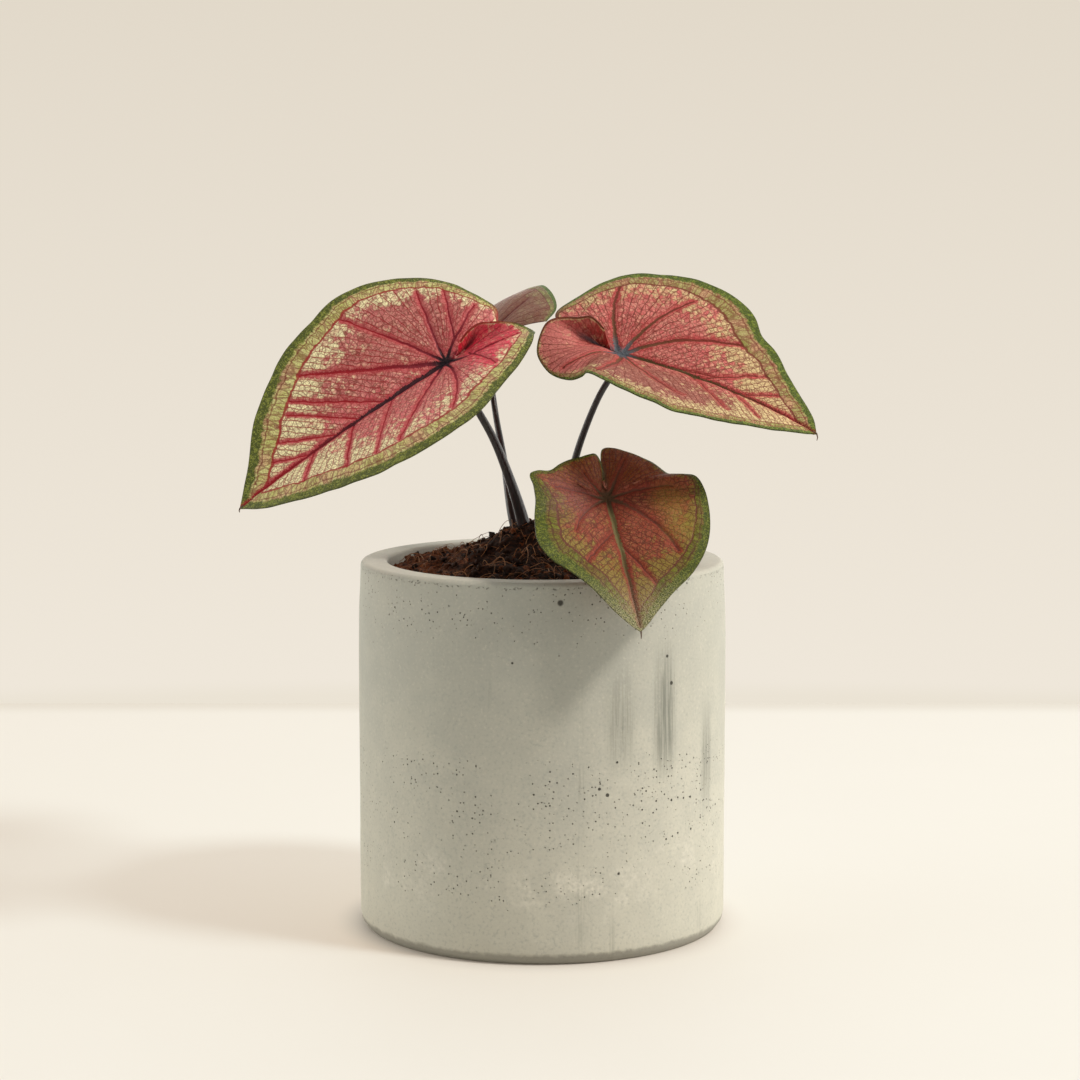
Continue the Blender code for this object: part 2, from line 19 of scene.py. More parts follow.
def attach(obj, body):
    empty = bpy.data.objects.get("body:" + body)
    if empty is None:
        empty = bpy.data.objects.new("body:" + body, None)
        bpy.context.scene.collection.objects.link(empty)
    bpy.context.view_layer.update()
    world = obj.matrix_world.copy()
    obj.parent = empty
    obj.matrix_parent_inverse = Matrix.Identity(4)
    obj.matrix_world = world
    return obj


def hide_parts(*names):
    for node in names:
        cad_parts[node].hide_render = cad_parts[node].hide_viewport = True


MM = 0.001
BODY = "root"
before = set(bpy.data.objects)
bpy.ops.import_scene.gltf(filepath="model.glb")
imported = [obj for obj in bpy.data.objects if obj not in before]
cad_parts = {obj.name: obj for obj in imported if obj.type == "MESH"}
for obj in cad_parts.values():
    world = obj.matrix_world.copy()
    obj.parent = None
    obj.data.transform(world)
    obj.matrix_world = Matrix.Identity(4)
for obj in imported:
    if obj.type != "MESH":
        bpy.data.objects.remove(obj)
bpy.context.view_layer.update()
print("nodes in the frame:", ", ".join(sorted(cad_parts)))

# %% [markdown]
# ## Nodes written as Python
#
# A finish is a network of small nodes. Wiring each one by hand is slow to read, so one class stands
# for a socket and lets it be added, multiplied and compared as a number is. The network itself has a
# single method for every other kind of node, and a finish is a network round one shader.


# %% A socket that does arithmetic
def arithmetic(operation, swapped=False):
    """A method that adds a Math node for one operation."""

    def method(link, *others):
        values = (*others, link) if swapped else (link, *others)
        return link.math(operation, *values)

    return method


class Link:
    """One output socket. Arithmetic on it adds Math nodes to its network."""

    def __init__(self, network, socket):
        self.network, self.socket = network, socket

    def math(self, operation, *values):
        return self.network.node("Math", dict(enumerate(values)), operation=operation)

    __add__ = __radd__ = arithmetic("ADD")
    __sub__ = arithmetic("SUBTRACT")
    __rsub__ = arithmetic("SUBTRACT", swapped=True)
    __mul__ = __rmul__ = arithmetic("MULTIPLY")
    __truediv__ = arithmetic("DIVIDE")
    __pow__ = arithmetic("POWER")
    __abs__ = arithmetic("ABSOLUTE")
    least = arithmetic("MINIMUM")
    most = arithmetic("MAXIMUM")
    sine = arithmetic("SINE")

    def fade(self, start, end):
        """0 before start and 1 past end, smoothly. With end below start it falls instead of rising."""
        settings = {"interpolation_type": "SMOOTHSTEP"}
        return self.network.node("MapRange", {"Value": self, 1: start, 2: end}, **settings)


print("sockets can be added, multiplied and faded")

# %% A network and its one method for nodes
class Network:
    """A tree of nodes, with one method that adds any kind of node and a few that are used often."""

    def __init__(self, tree):
        self.tree = tree

    def join(self, value, socket):
        if isinstance(value, Link):
            self.tree.links.new(value.socket, socket)
        elif isinstance(value, (tuple, list)) and len(value) == 3 and socket.type == "RGBA":
            socket.default_value = (*value, 1.0)
        else:
            socket.default_value = value

    def node(self, kind, inputs=None, out=0, **settings):
        """Adds a node: its settings first, then the values or links of its sockets."""
        made = self.tree.nodes.new("ShaderNode" + kind)
        for key, value in settings.items():
            setattr(made, key, value)
        for key, value in (inputs or {}).items():
            self.join(value, made.inputs[key])
        return None if out is None else Link(self, made.outputs[out])

    def mix(self, first, second, factor):
        """The second colour over the first, by the factor."""
        return self.node("Mix", {0: factor, 6: first, 7: second}, out=2, data_type="RGBA")

    def vector(self, operation, first, second=(0.0, 0.0, 0.0), out=0):
        return self.node("VectorMath", {0: first, 1: second}, out=out, operation=operation)

    def scaled(self, first, factor):
        return self.node("VectorMath", {0: first, "Scale": factor}, operation="SCALE")

    def noise(self, place, size, detail=3.0, out="Fac"):
        """Soft noise with features of about this size, in the unit of the place."""
        inputs = {"Vector": place, "Scale": 1.0 / size, "Detail": detail}
        return self.node("TexNoise", inputs, out=out)

    def cells(self, place, size, feature="F1", out="Distance"):
        inputs = {"Vector": place, "Scale": 1.0 / size}
        return self.node("TexVoronoi", inputs, out=out, feature=feature)

    def parts(self, vector, *which):
        """The chosen parts of a vector: 0 for x, 1 for y and 2 for z."""
        return [self.node("SeparateXYZ", {0: vector}, out=i) for i in which]

    def layers(self, skin, *coats):
        """A colour with others over it, from the bottom up, each with its factor."""
        for colour, factor in coats:
            skin = self.mix(skin, colour, factor)
        return skin

    def bump(self, height, strength, distance=1.0):
        """A normal from a height map whose full height is a distance in millimetres."""
        return self.node("Bump", {"Height": height, "Distance": distance * MM, "Strength": strength})


print("a network adds any kind of node")

# %% A finish
class Finish(Network):
    """A material built round one Principled shader."""

    def __init__(self, name):
        self.material = bpy.data.materials.new(name)
        self.material.use_nodes = True
        super().__init__(self.material.node_tree)
        self.shader = self.tree.nodes["Principled BSDF"]

    def millimetres(self):
        """Where a point lies on the object, in millimetres."""
        return self.scaled(self.node("TexCoord", out="Object"), 1.0 / MM)

    def paint(self, **values):
        """Sets or links the shader's own sockets, named with underscores for spaces."""
        for key, value in values.items():
            self.join(value, self.shader.inputs[key.replace("_", " ")])
        return self.material


def tone(red, green, blue):
    """A screen colour of 0 to 255 as the linear colour that a shader wants."""
    return tuple(((c / 255 + 0.055) / 1.055) ** 2.4 if c > 10 else c / 3294 for c in (red, green, blue))


print("the node helpers are ready; mid grey is", [round(c, 3) for c in tone(128, 128, 128)])

# %% [markdown]
# ## Camera, light and floor
#
# The picture was taken from the front, a little above the pot, with a long lens. The fitted camera
# stands 900 mm from the pot's axis and looks down by 7 degrees. The floor ends behind the plant, and
# the pale sky stands for the wall. The room glows in a ring at the sides and behind the plant, a
# little overhead, and not behind the viewer, which is what shades the middle of the pot. One soft
# lamp, the window, stands high on the right and casts the soft shadows to the left.

# %% Camera
CAMERA_AWAY = 900.0
CAMERA_HEIGHT = 236.7
CAMERA_SIDE = -0.7
CAMERA_DOWN = math.radians(7.01)
LENS = 92.6

lens = bpy.data.cameras.new("camera")
lens.lens = LENS
lens.sensor_width = 36.0
camera = bpy.data.objects.new("camera", lens)
camera.location = (CAMERA_SIDE * MM, -CAMERA_AWAY * MM, CAMERA_HEIGHT * MM)
camera.rotation_euler = (math.pi / 2 - CAMERA_DOWN, 0.0, 0.0)
bpy.context.scene.collection.objects.link(camera)
bpy.context.scene.camera = camera
bpy.context.scene.view_settings.view_transform = "Standard"
print("camera at", tuple(round(c, 3) for c in camera.location))

# %% Lamp
LIGHT_WAY = Vector((0.611, -0.285, 0.7325)).normalized()
LIGHT_AWAY = 2.0
LIGHT_SIZE = 0.38
LIGHT_POWER = 31.0

lamp_data = bpy.data.lights.new("window", "AREA")
lamp_data.shape = "DISK"
lamp_data.size = LIGHT_SIZE
lamp_data.energy = LIGHT_POWER
lamp_data.color = (1.03, 0.955, 0.87)
lamp = bpy.data.objects.new("window", lamp_data)
lamp.location = LIGHT_WAY * LIGHT_AWAY + Vector((0.0, 0.0, 0.1))
lamp.rotation_euler = LIGHT_WAY.to_track_quat("Z", "Y").to_euler()
bpy.context.scene.collection.objects.link(lamp)
print("lamp", round(LIGHT_AWAY, 2), "m away, height", round(lamp.location.z, 2), "m")

# %% Room
WALL_LOW = tone(239, 231, 218)
WALL_HIGH = tone(226, 217, 202)
WALL_FOOT = tone(235, 227, 212)
RING_LEFT, RING_RIGHT, RING_BACK, RING_TOP = 4.0, 4.1, 2.15, 0.5
RING_SHARPNESS = 6.0
RING_COLOUR = (1.01, 1.0, 0.94)
# The wall's tone changes between these heights of the view, from its foot and above it.
WALL_FOOT_AT, WALL_SPAN = 0.17, 0.24

world = bpy.data.worlds.new("room")
bpy.context.scene.world = world
world.use_nodes = True
room = Network(world.node_tree)
room.tree.nodes.clear()
way = room.node("TexCoord", out="Generated")
side_way, back_way, up_way = room.parts(way, 0, 1, 2)
wall = room.mix(WALL_LOW, WALL_HIGH, (up_way + WALL_FOOT_AT) / WALL_SPAN)
wall = room.mix(wall, WALL_FOOT, up_way.fade(-WALL_FOOT_AT, -WALL_FOOT_AT - 0.008))
ring = side_way.most(0.0) ** RING_SHARPNESS * RING_RIGHT
ring = ring + (0.0 - side_way).most(0.0) ** RING_SHARPNESS * RING_LEFT
ring = ring + back_way.most(0.0) ** 2.0 * RING_BACK + up_way.most(0.0) ** 2.0 * RING_TOP
glow = room.node("Background", {"Color": (*RING_COLOUR, 1.0), "Strength": ring})
seen = room.node("Background", {"Color": wall})
ray = room.node("LightPath", out="Is Camera Ray")
room.node("OutputWorld", {0: room.node("MixShader", {0: ray, 1: glow, 2: seen})}, out=None)
print("room nodes:", len(room.tree.nodes))

# %% Floor
FLOOR_BACK = 0.393
FLOOR_FRONT = -2.5
FLOOR_SIDE = 2.5
FLOOR_FADE = 0.03
# The shade under the pot's foot begins and ends this far from the pot's axis. The linear colours of the
# paper and of its painted warm glow differ there, and the paper darkens a little where the floor ends.
# The glow is painted light: it lifts and warms the floor's shade.
CONTACT = (0.056, 0.070)
PAPER, PAPER_PALE = (0.30, 0.38, 0.42), (0.31, 0.39, 0.43)
PAPER_CONTACT, PAPER_FAR = (0.60, 0.57, 0.53), (0.22, 0.29, 0.32)
PAINTED_GLOW, PAINTED_GLOW_CONTACT = (0.48, 0.34, 0.225), (0.06, 0.05, 0.04)


def select_none():
    bpy.ops.object.select_all(action="DESELECT")


def added(name, add, **settings):
    """The object that one of Blender's add operators makes, selected alone and named."""
    select_none()
    add(**settings)
    bpy.context.object.name = name
    return bpy.context.object


floor = added("floor", bpy.ops.mesh.primitive_plane_add, size=1.0)
floor.scale = (2 * FLOOR_SIDE, FLOOR_BACK - FLOOR_FRONT, 1.0)
floor.location = (0.0, (FLOOR_BACK + FLOOR_FRONT) / 2, 0.0)
bpy.ops.object.transform_apply(location=True, rotation=True, scale=True)
paper = Finish("floor paper")
place = paper.node("TexCoord", out="Object")
contact = paper.vector("LENGTH", place, out=1).fade(CONTACT[1], CONTACT[0])
far = paper.parts(place, 1)[0].fade(FLOOR_BACK - FLOOR_FADE, FLOOR_BACK)
shade = paper.layers(
    PAPER,
    (PAPER_PALE, paper.noise(place, 0.05, 4.0)),
    (PAPER_CONTACT, contact),
    (PAPER_FAR, far),
)
# The floor's warm glow is painted light, weaker under the pot's foot where the paper is paler.
painted_glow = paper.mix(PAINTED_GLOW, PAINTED_GLOW_CONTACT, contact)
paper.paint(Base_Color=shade, Roughness=0.75, Specular_IOR_Level=0.2)
paper.paint(Emission_Color=painted_glow, Emission_Strength=1.0)
floor.data.materials.append(paper.material)
print("floor from", FLOOR_FRONT, "to", FLOOR_BACK, "m")

# %% [markdown]
# ## Smooth paths
#
# Leaf edges and stalks are both smooth curves through a few measured stations. One function draws
# them: a curve that passes through each station and is then cut into even steps. Stalks, coir strands
# and tip threads are all thin and round, so three more functions draw such strokes as Blender curves.


# %% Smooth path
# Points drawn between two stations before the path is cut into even steps.
SPAN_STEPS = 12


def smooth_path(stations, step):
    """Points a step apart on a smooth curve through the stations, whose last columns ride along."""
    stations = np.array(stations, float)
    chord = np.sqrt(np.linalg.norm(np.diff(stations[:, :3], axis=0), axis=1))
    knots = np.concatenate([[0.0], np.cumsum(chord)])
    ends = [2 * stations[0] - stations[1], 2 * stations[-1] - stations[-2]]
    padded = np.vstack([ends[0], stations, ends[1]])
    padded_knots = np.concatenate([[-knots[1]], knots, [2 * knots[-1] - knots[-2]]])
    fine = []
    for i in range(len(stations) - 1):
        p0, p1, p2, p3 = padded[i : i + 4]
        t0, t1, t2, t3 = padded_knots[i : i + 4]
        out = (p1 - p0) / (t1 - t0) - (p2 - p0) / (t2 - t0) + (p2 - p1) / (t2 - t1)
        into = (p2 - p1) / (t2 - t1) - (p3 - p1) / (t3 - t1) + (p3 - p2) / (t3 - t2)
        for u in np.linspace(0.0, 1.0, SPAN_STEPS, endpoint=False):
            blend = (2 * u**3 - 3 * u**2 + 1) * p1 + (-2 * u**3 + 3 * u**2) * p2
            slope = (u**3 - 2 * u**2 + u) * out + (u**3 - u**2) * into
            fine.append(blend + slope * (t2 - t1))
    fine.append(stations[-1])
    fine = np.array(fine)
    along = np.linalg.norm(np.diff(fine[:, :3], axis=0), axis=1)
    along = np.concatenate([[0.0], np.cumsum(along)])
    wanted = np.linspace(0.0, along[-1], max(2, round(along[-1] / step)) + 1)
    return np.stack([np.interp(wanted, along, column) for column in fine.T], axis=1)


print("a bent path of", len(smooth_path([(0, 0, 0), (10, 4, 0), (20, 0, 0)], 1.0)), "points")


# %% Round strokes
def new_stroke(name, resolution):
    """An empty curve object whose lines will be round and capped."""
    stroke = added(name, bpy.ops.curve.primitive_nurbs_path_add)
    stroke.data.splines.clear()
    stroke.data.bevel_depth = MM
    stroke.data.bevel_resolution = resolution
    stroke.data.use_fill_caps = True
    return stroke


def add_line(stroke, rows, material=0):
    """One line through rows of x, y, z and radius, in millimetres."""
    spline = stroke.data.splines.new("POLY")
    spline.points.add(len(rows) - 1)
    spline.material_index = material
    for point, (x, y, z, radius) in zip(spline.points, rows):
        point.co = (x * MM, y * MM, z * MM, 1.0)
        point.radius = radius


def made_mesh(stroke):
    """The stroke turned into a mesh."""
    select_none()
    stroke.select_set(True)
    bpy.context.view_layer.objects.active = stroke
    bpy.ops.object.convert(target="MESH")
    return bpy.context.object


print("strokes are ready")

# %% [markdown]
# ## The pot
#
# The real pot is cast concrete: a straight cylinder with a softly rounded lip, a thick floor and a
# worn chamfer at the foot. Its section is a closed outline, so the simplest way to make it is to lay
# a ring of points on that outline and spin it about the axis. Small dents are pressed in by noise.

# %% Pot section
POT_RADIUS, POT_HEIGHT = 60.0, 120.0
LIP_RADIUS, LIP_ROUND = 59.2, 1.6
BORE_RADIUS, BORE_ROUND = 50.5, 1.0
FLOOR_THICK, FLOOR_CORNER = 10.0, 3.0
FOOT_RADIUS, FOOT_HEIGHT = 58.2, 2.3
STRAIGHT_TO = 95.0
POT_TURNS = 240


def arc(centre, radius, start, end, steps):
    """Points of an arc in the (radius, height) plane, from one angle in degrees to another."""
    angles = np.radians(np.linspace(start, end, steps + 1))
    return [(centre[0] + radius * math.cos(a), centre[1] + radius * math.sin(a)) for a in angles]


def between(low, high, count):
    """Even points from just after one (radius, height) point to just before another."""
    return [tuple(p) for p in np.linspace(low, high, count + 2)[1:-1]]


# From the axis out along the underside, up the wall, over the lip, and down the bore to the floor.
section = [(0.0, 0.0), (30.0, 0.0), (FOOT_RADIUS - 0.6, 0.0), (FOOT_RADIUS, 0.4)]
section += [(POT_RADIUS - 0.4, FOOT_HEIGHT), (POT_RADIUS, FOOT_HEIGHT + 2.0)]
section += between((POT_RADIUS, FOOT_HEIGHT + 2.0), (POT_RADIUS, STRAIGHT_TO), 24)
section += [(POT_RADIUS, STRAIGHT_TO)]
section += [(POT_RADIUS - 0.2, 104.0), (LIP_RADIUS + 0.2, 112.0)]
section += arc((LIP_RADIUS - LIP_ROUND, POT_HEIGHT - LIP_ROUND), LIP_ROUND, 0, 90, 8)
section += between((LIP_RADIUS - LIP_ROUND, POT_HEIGHT), (BORE_RADIUS + BORE_ROUND, POT_HEIGHT), 3)
section += arc((BORE_RADIUS + BORE_ROUND, POT_HEIGHT - BORE_ROUND), BORE_ROUND, 90, 180, 6)
section += [(BORE_RADIUS, height) for height in (STRAIGHT_TO, 60.0, 30.0)]
section += arc((BORE_RADIUS - FLOOR_CORNER, FLOOR_THICK + FLOOR_CORNER), FLOOR_CORNER, 0, -90, 3)
section += [(0.0, FLOOR_THICK)]
print("the section has", len(section), "points")

# %% Spin the pot
ring = {"vertices": len(section), "radius": 0.01, "fill_type": "NOTHING"}
pot = added("concrete_pot", bpy.ops.mesh.primitive_circle_add, **ring)
for vertex, (radius, height) in zip(pot.data.vertices, section):
    vertex.co = (radius * MM, 0.0, height * MM)
bpy.ops.object.mode_set(mode="EDIT")
bpy.ops.mesh.select_all(action="SELECT")
bpy.ops.mesh.spin(
    steps=POT_TURNS, angle=2 * math.pi, center=(0, 0, 0), axis=(0, 0, 1), use_auto_merge=True
)
bpy.ops.mesh.select_all(action="SELECT")
bpy.ops.mesh.remove_doubles(threshold=0.00001)
bpy.ops.mesh.dissolve_degenerate(threshold=0.000001)
bpy.ops.mesh.delete_loose()
bpy.ops.mesh.select_all(action="SELECT")
bpy.ops.mesh.normals_make_consistent(inside=False)
bpy.ops.object.mode_set(mode="OBJECT")
print("the pot has", len(pot.data.polygons), "faces")

# %% Press small dents into its outside
DENT, DENT_SIZE = 0.16, 7.0
DENTS_BEYOND, DENTS_ABOVE = 57.0, 0.2

for vertex in pot.data.vertices:
    radius = math.hypot(vertex.co.x, vertex.co.y)
    if radius > DENTS_BEYOND * MM and vertex.co.z > DENTS_ABOVE * MM:
        dip = max(0.0, noise.noise(vertex.co / (DENT_SIZE * MM))) * DENT * MM
        vertex.co.x *= 1.0 - dip / radius
        vertex.co.y *= 1.0 - dip / radius
pot.data.shade_smooth()
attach(pot, BODY)
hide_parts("pot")
print("the pot stands", round(pot.dimensions.z, 4), "m high")

# %% [markdown]
# ## Concrete
#
# Cast concrete is a quiet warm grey with a lot going on close up. It has cloudy patches, fine grain,
# air pits where bubbles lay against the mould, grey streaks drawn down by the mould's release, pale
# salts low on the wall, and a rough, darker band at the foot. Each of them is one mask, and the masks
# are laid over each other. Positions round the wall are measured as an arc from the front.

# %% Concrete coordinates and clouds
CONCRETE = tone(179, 177, 165)
CONCRETE_DARK = tone(156, 157, 149)
CONCRETE_PALE = tone(208, 204, 187)

concrete = Finish("cast concrete")
at = concrete.millimetres()
x, y, z = concrete.parts(at, 0, 1, 2)
arc_at = concrete.node("Math", {0: x, 1: 0.0 - y}, operation="ARCTAN2") * POT_RADIUS
clouds = concrete.noise(at, 34.0, 5.0).fade(0.36, 0.66)
blotch = concrete.noise(at, 9.0, 4.0).fade(0.35, 0.75)
grain = concrete.noise(at, 0.9, 3.0)
skin = concrete.layers(
    CONCRETE,
    (CONCRETE_DARK, clouds * 0.36),
    (CONCRETE_PALE, blotch * 0.20),
    # Painted shade: darker towards the top, where the leaves shade the wall. Painted light: paler low
    # down, lit from the floor.
    (CONCRETE_DARK, z.fade(58.0, 104.0) * 0.45),
    (CONCRETE_PALE, z.fade(72.0, 22.0) * 0.30),
    (CONCRETE_PALE, grain.fade(0.55, 0.80) * 0.35),
    (CONCRETE_DARK, grain.fade(0.48, 0.27) * 0.50),
)
print("concrete nodes so far:", len(concrete.tree.nodes))

# %% Streaks, salts and the foot
# Each streak: its place round the wall, half width, lower and upper end, and strength.
STREAKS = (
    (25, 6, 56, 101, 0.48), (41.5, 5.6, 52, 106, 0.78), (63.5, 4.4, 38, 84, 0.62), (-96, 3, 40, 90, 0.45),
    (140, 4, 30, 84, 0.50),
)
PATCH_ARC, PATCH_HALF = 12.0, 30.0
STREAK = tone(104, 106, 97)
SALT = tone(222, 217, 203)
FOOT = tone(132, 130, 121)
# The tone of the pits is painted shade inside the holes.
PIT = tone(58, 56, 50)

drawn = concrete.node("CombineXYZ", {0: arc_at, 1: z * 0.035, 2: 3.0})
lines = concrete.noise(drawn, 0.7, 3.0).fade(0.40, 0.60)
wisps = concrete.noise(drawn, 7.0, 2.0).fade(0.60, 0.78) * concrete.noise(at, 22.0, 2.0).fade(0.45, 0.7)
streaks = wisps * lines * 0.35
for middle, half, low, high, strength in STREAKS:
    across = (abs(arc_at - middle) / half).fade(1.1, 0.25)
    along = z.fade(low, low + 18.0) * z.fade(high, high - 26.0)
    streaks = streaks.most(across * along * (lines * 0.5 + 0.5) * strength)
low_wall = z.fade(10.0, 19.0) * z.fade(42.0, 28.0)
salt = concrete.noise(at, 15.0, 5.0).fade(0.52, 0.66) * low_wall * 0.7
patch = (abs(arc_at - PATCH_ARC) / PATCH_HALF).fade(1.0, 0.5) * z.fade(15.0, 22.0) * z.fade(33.0, 26.0)
salt = salt.most(patch * concrete.noise(at, 9.0, 5.0).fade(0.40, 0.58))
salt = salt * concrete.noise(at, 1.4, 4.0).fade(0.3, 0.7)
ragged = z + concrete.noise(at, 2.8, 4.0) * -2.4
foot = ragged.fade(2.9, 1.3)
skin = concrete.layers(skin, (STREAK, streaks), (SALT, salt * 0.55), (FOOT, foot * 0.75))
print("concrete nodes with its stains:", len(concrete.tree.nodes))

# %% Pits
# The few pits that stand out: degrees round the wall from the front, height, and radius.
PITS = (
    (5.4, 114, 1.35), (11.7, 112.3, 0.50), (15.4, 117.1, 0.45), (17.9, 111.4, 0.48), (18.8, 110.4, 0.42),
    (-42.5, 115.8, 0.65), (19.6, 53.4, 0.70), (17.1, 55.5, 0.58), (42.2, 86.5, 0.72), (40.4, 95.2, 0.58),
    (23.3, 28.2, 0.50), (22.7, 63.5, 0.45), (36.4, 49.8, 0.40), (42.5, 49.2, 0.50), (45.3, 49.6, 0.38),
    (48, 49, 0.42), (51.3, 48.8, 0.45), (57.1, 50, 0.40), (40.4, 37, 0.42), (43, 37.5, 0.36),
    (45.4, 38.2, 0.40), (51.7, 38.4, 0.46), (57.1, 41, 0.40), (68.2, 43, 0.46), (150, 88, 0.80),
    (111, 40, 0.70), (-118, 96, 0.75),
)


def pit_layer(size, share, largest, zone):
    """Round pits, one in a share of the noise cells, with a radius drawn by each cell."""
    away = concrete.cells(at, size) * size
    draw = concrete.cells(at, size, out="Color")
    lot = concrete.node("SeparateColor", {0: draw}, out=0)
    radius = lot.fade(1.0 - share, 1.0) * zone * largest
    return (radius - away).fade(-0.12, 0.12) * radius.fade(0.04, 0.12)


outside = concrete.vector("LENGTH", concrete.vector("MULTIPLY", at, (1.0, 1.0, 0.0)), out=1)
wall_side = outside.fade(58.0, 59.0)
band = (z.fade(86.0, 112.0) * 0.8).most(z.fade(70.0, 60.0) * z.fade(22.0, 46.0))
band = band.most(z.fade(14.0, 22.0) * z.fade(38.0, 28.0) * 0.8)
band = band * concrete.noise(at, 20.0, 2.0).fade(0.28, 0.50) * wall_side
pits = pit_layer(2.6, 0.45, 0.31, band * 0.8 + 0.2).most(pit_layer(1.2, 0.95, 0.27, band))
pits = pits.most(pit_layer(9.0, 0.3, 0.6, 0.75))
for turn, height, radius in PITS:
    angle = math.radians(turn)
    spot = (POT_RADIUS * math.sin(angle), -POT_RADIUS * math.cos(angle), height)
    away = concrete.vector("DISTANCE", at, spot, out=1)
    pits = pits.most(away.fade(radius, radius * 0.6))
seam = abs(z - 118.2).fade(0.6, 0.1) * concrete.noise(at, 0.8, 2.0).fade(0.54, 0.66) * wall_side
pits = pits.most(seam * 0.55)
# Pits and the dotted line under the lip are painted dark: painted shade inside the holes.
skin = concrete.mix(skin, PIT, pits * 0.92)
print("concrete nodes with its pits:", len(concrete.tree.nodes))

# %% Concrete relief
relief = grain * 0.05 + concrete.noise(at, 3.0, 4.0) * 0.10 - pits * 0.45 - foot * 0.15
relief = relief + lines * streaks * 0.05
rough = 0.88 - clouds * 0.08 + pits * 0.08
normal = concrete.bump(relief, 0.9)
concrete.paint(Base_Color=skin, Roughness=rough, Normal=normal, Specular_IOR_Level=0.35)
pot.data.materials.clear()
pot.data.materials.append(concrete.material)
print("concrete finished with", len(concrete.tree.nodes), "nodes")

# %% [markdown]
# ## Coir
#
# The pot is filled with dark coir: a lumpy surface of fine dust, with crumbs and strands lying on it.
# The surface is a grid drawn into a disc and lifted by the same lumps as the solid, with finer noise
# on top, so the solid and the looks agree. Its border is pulled down to the pot's floor, which closes
# it. The crumbs and strands are pieces of their own, because they stand out and cast small shadows.

# %% The height of the coir
SOIL_SEED = 11
SOIL_EDGE, SOIL_CROWN = 116.0, 5.0
MOUND_HEIGHT, MOUND_REACH, MOUND_CENTRE = 11.0, 17.0, (-4.0, 2.0)
LUMPS = 150
LUMP_REACH = (2.0, 4.5)
LUMP_HEIGHT = (0.6, 2.2)
LUMP_SIGNS = (1.0, 1.0, -0.8)
SOIL_GAP = 0.3


def soil_lumps(draw):
    """Lumps scattered evenly over the surface, each with its reach and height. Some are hollows."""
    lumps = []
    for _ in range(LUMPS):
        turn = draw.uniform(0.0, 2.0 * math.pi)
        radius = BORE_RADIUS * math.sqrt(draw.random())
        height = draw.uniform(*LUMP_HEIGHT) * draw.choice(LUMP_SIGNS)
        reach = draw.uniform(*LUMP_REACH)
        lumps.append((radius * math.cos(turn), radius * math.sin(turn), reach, height))
    return lumps


LUMP_LIST = soil_lumps(random.Random(SOIL_SEED))


def soil_height(x, y):
    """The coir's height over the pot's underside, in millimetres."""
    from_mound = ((x - MOUND_CENTRE[0]) ** 2 + (y - MOUND_CENTRE[1]) ** 2) / MOUND_REACH**2
    height = SOIL_EDGE + SOIL_CROWN * (1.0 - (x**2 + y**2) / BORE_RADIUS**2)
    height = height + MOUND_HEIGHT * np.exp(-from_mound)
    for lump_x, lump_y, reach, lump_height in LUMP_LIST:
        height = height + lump_height * np.exp(-((x - lump_x) ** 2 + (y - lump_y) ** 2) / reach**2)
    return height


print("the coir is", round(float(soil_height(*MOUND_CENTRE)), 1), "mm high at its crown")

# %% The coir's surface
SOIL_GRID = 170
ROUGH_LAYERS = ((3.2, 0.9), (1.4, 0.7), (0.7, 0.35))
SOIL_TAPER = 0.93
SKIRT = 50.0

grid = {"x_subdivisions": SOIL_GRID, "y_subdivisions": SOIL_GRID, "size": 2.0}
soil = added("coir_filling", bpy.ops.mesh.primitive_grid_add, **grid)
for vertex in soil.data.vertices:
    u, v = vertex.co.x, vertex.co.y
    x = u * math.sqrt(1.0 - v * v / 2.0) * (BORE_RADIUS - SOIL_GAP)
    y = v * math.sqrt(1.0 - u * u / 2.0) * (BORE_RADIUS - SOIL_GAP)
    z = float(soil_height(x, y))
    for size, rise in ROUGH_LAYERS:
        z += rise * noise.noise(Vector((x / size, y / size, 7.0 * size)))
    vertex.co = (x * MM, y * MM, z * MM)
bpy.ops.object.mode_set(mode="EDIT")
bpy.ops.mesh.select_all(action="SELECT")
bpy.ops.mesh.region_to_loop()
bpy.ops.mesh.extrude_edges_move(TRANSFORM_OT_translate={"value": (0.0, 0.0, -SKIRT * MM)})
bpy.ops.object.mode_set(mode="OBJECT")
for vertex in soil.data.vertices:
    if vertex.select:
        vertex.co.z = (FLOOR_THICK + SOIL_GAP) * MM
        vertex.co.x *= SOIL_TAPER
        vertex.co.y *= SOIL_TAPER
bpy.ops.object.mode_set(mode="EDIT")
bpy.ops.mesh.edge_face_add()
bpy.ops.mesh.select_all(action="SELECT")
bpy.ops.mesh.normals_make_consistent(inside=False)
bpy.ops.object.mode_set(mode="OBJECT")
soil.data.shade_smooth()
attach(soil, BODY)
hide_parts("soil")
print("the coir has", len(soil.data.polygons), "faces")

# %% Crumbs
CRUMB_SEED = 23
CRUMBS = 1150
CRUMB_RADIUS = (0.40, 1.6)
CRUMB_KINDS = 6
CRUMB_BULGE = 0.55
CRUMB_SQUASH, CRUMB_NARROW = (0.5, 0.9), (0.6, 1.0)
CRUMB_SMALLNESS = 2.5
CRUMB_CLEAR, CRUMB_RAISED = 1.0, 0.15

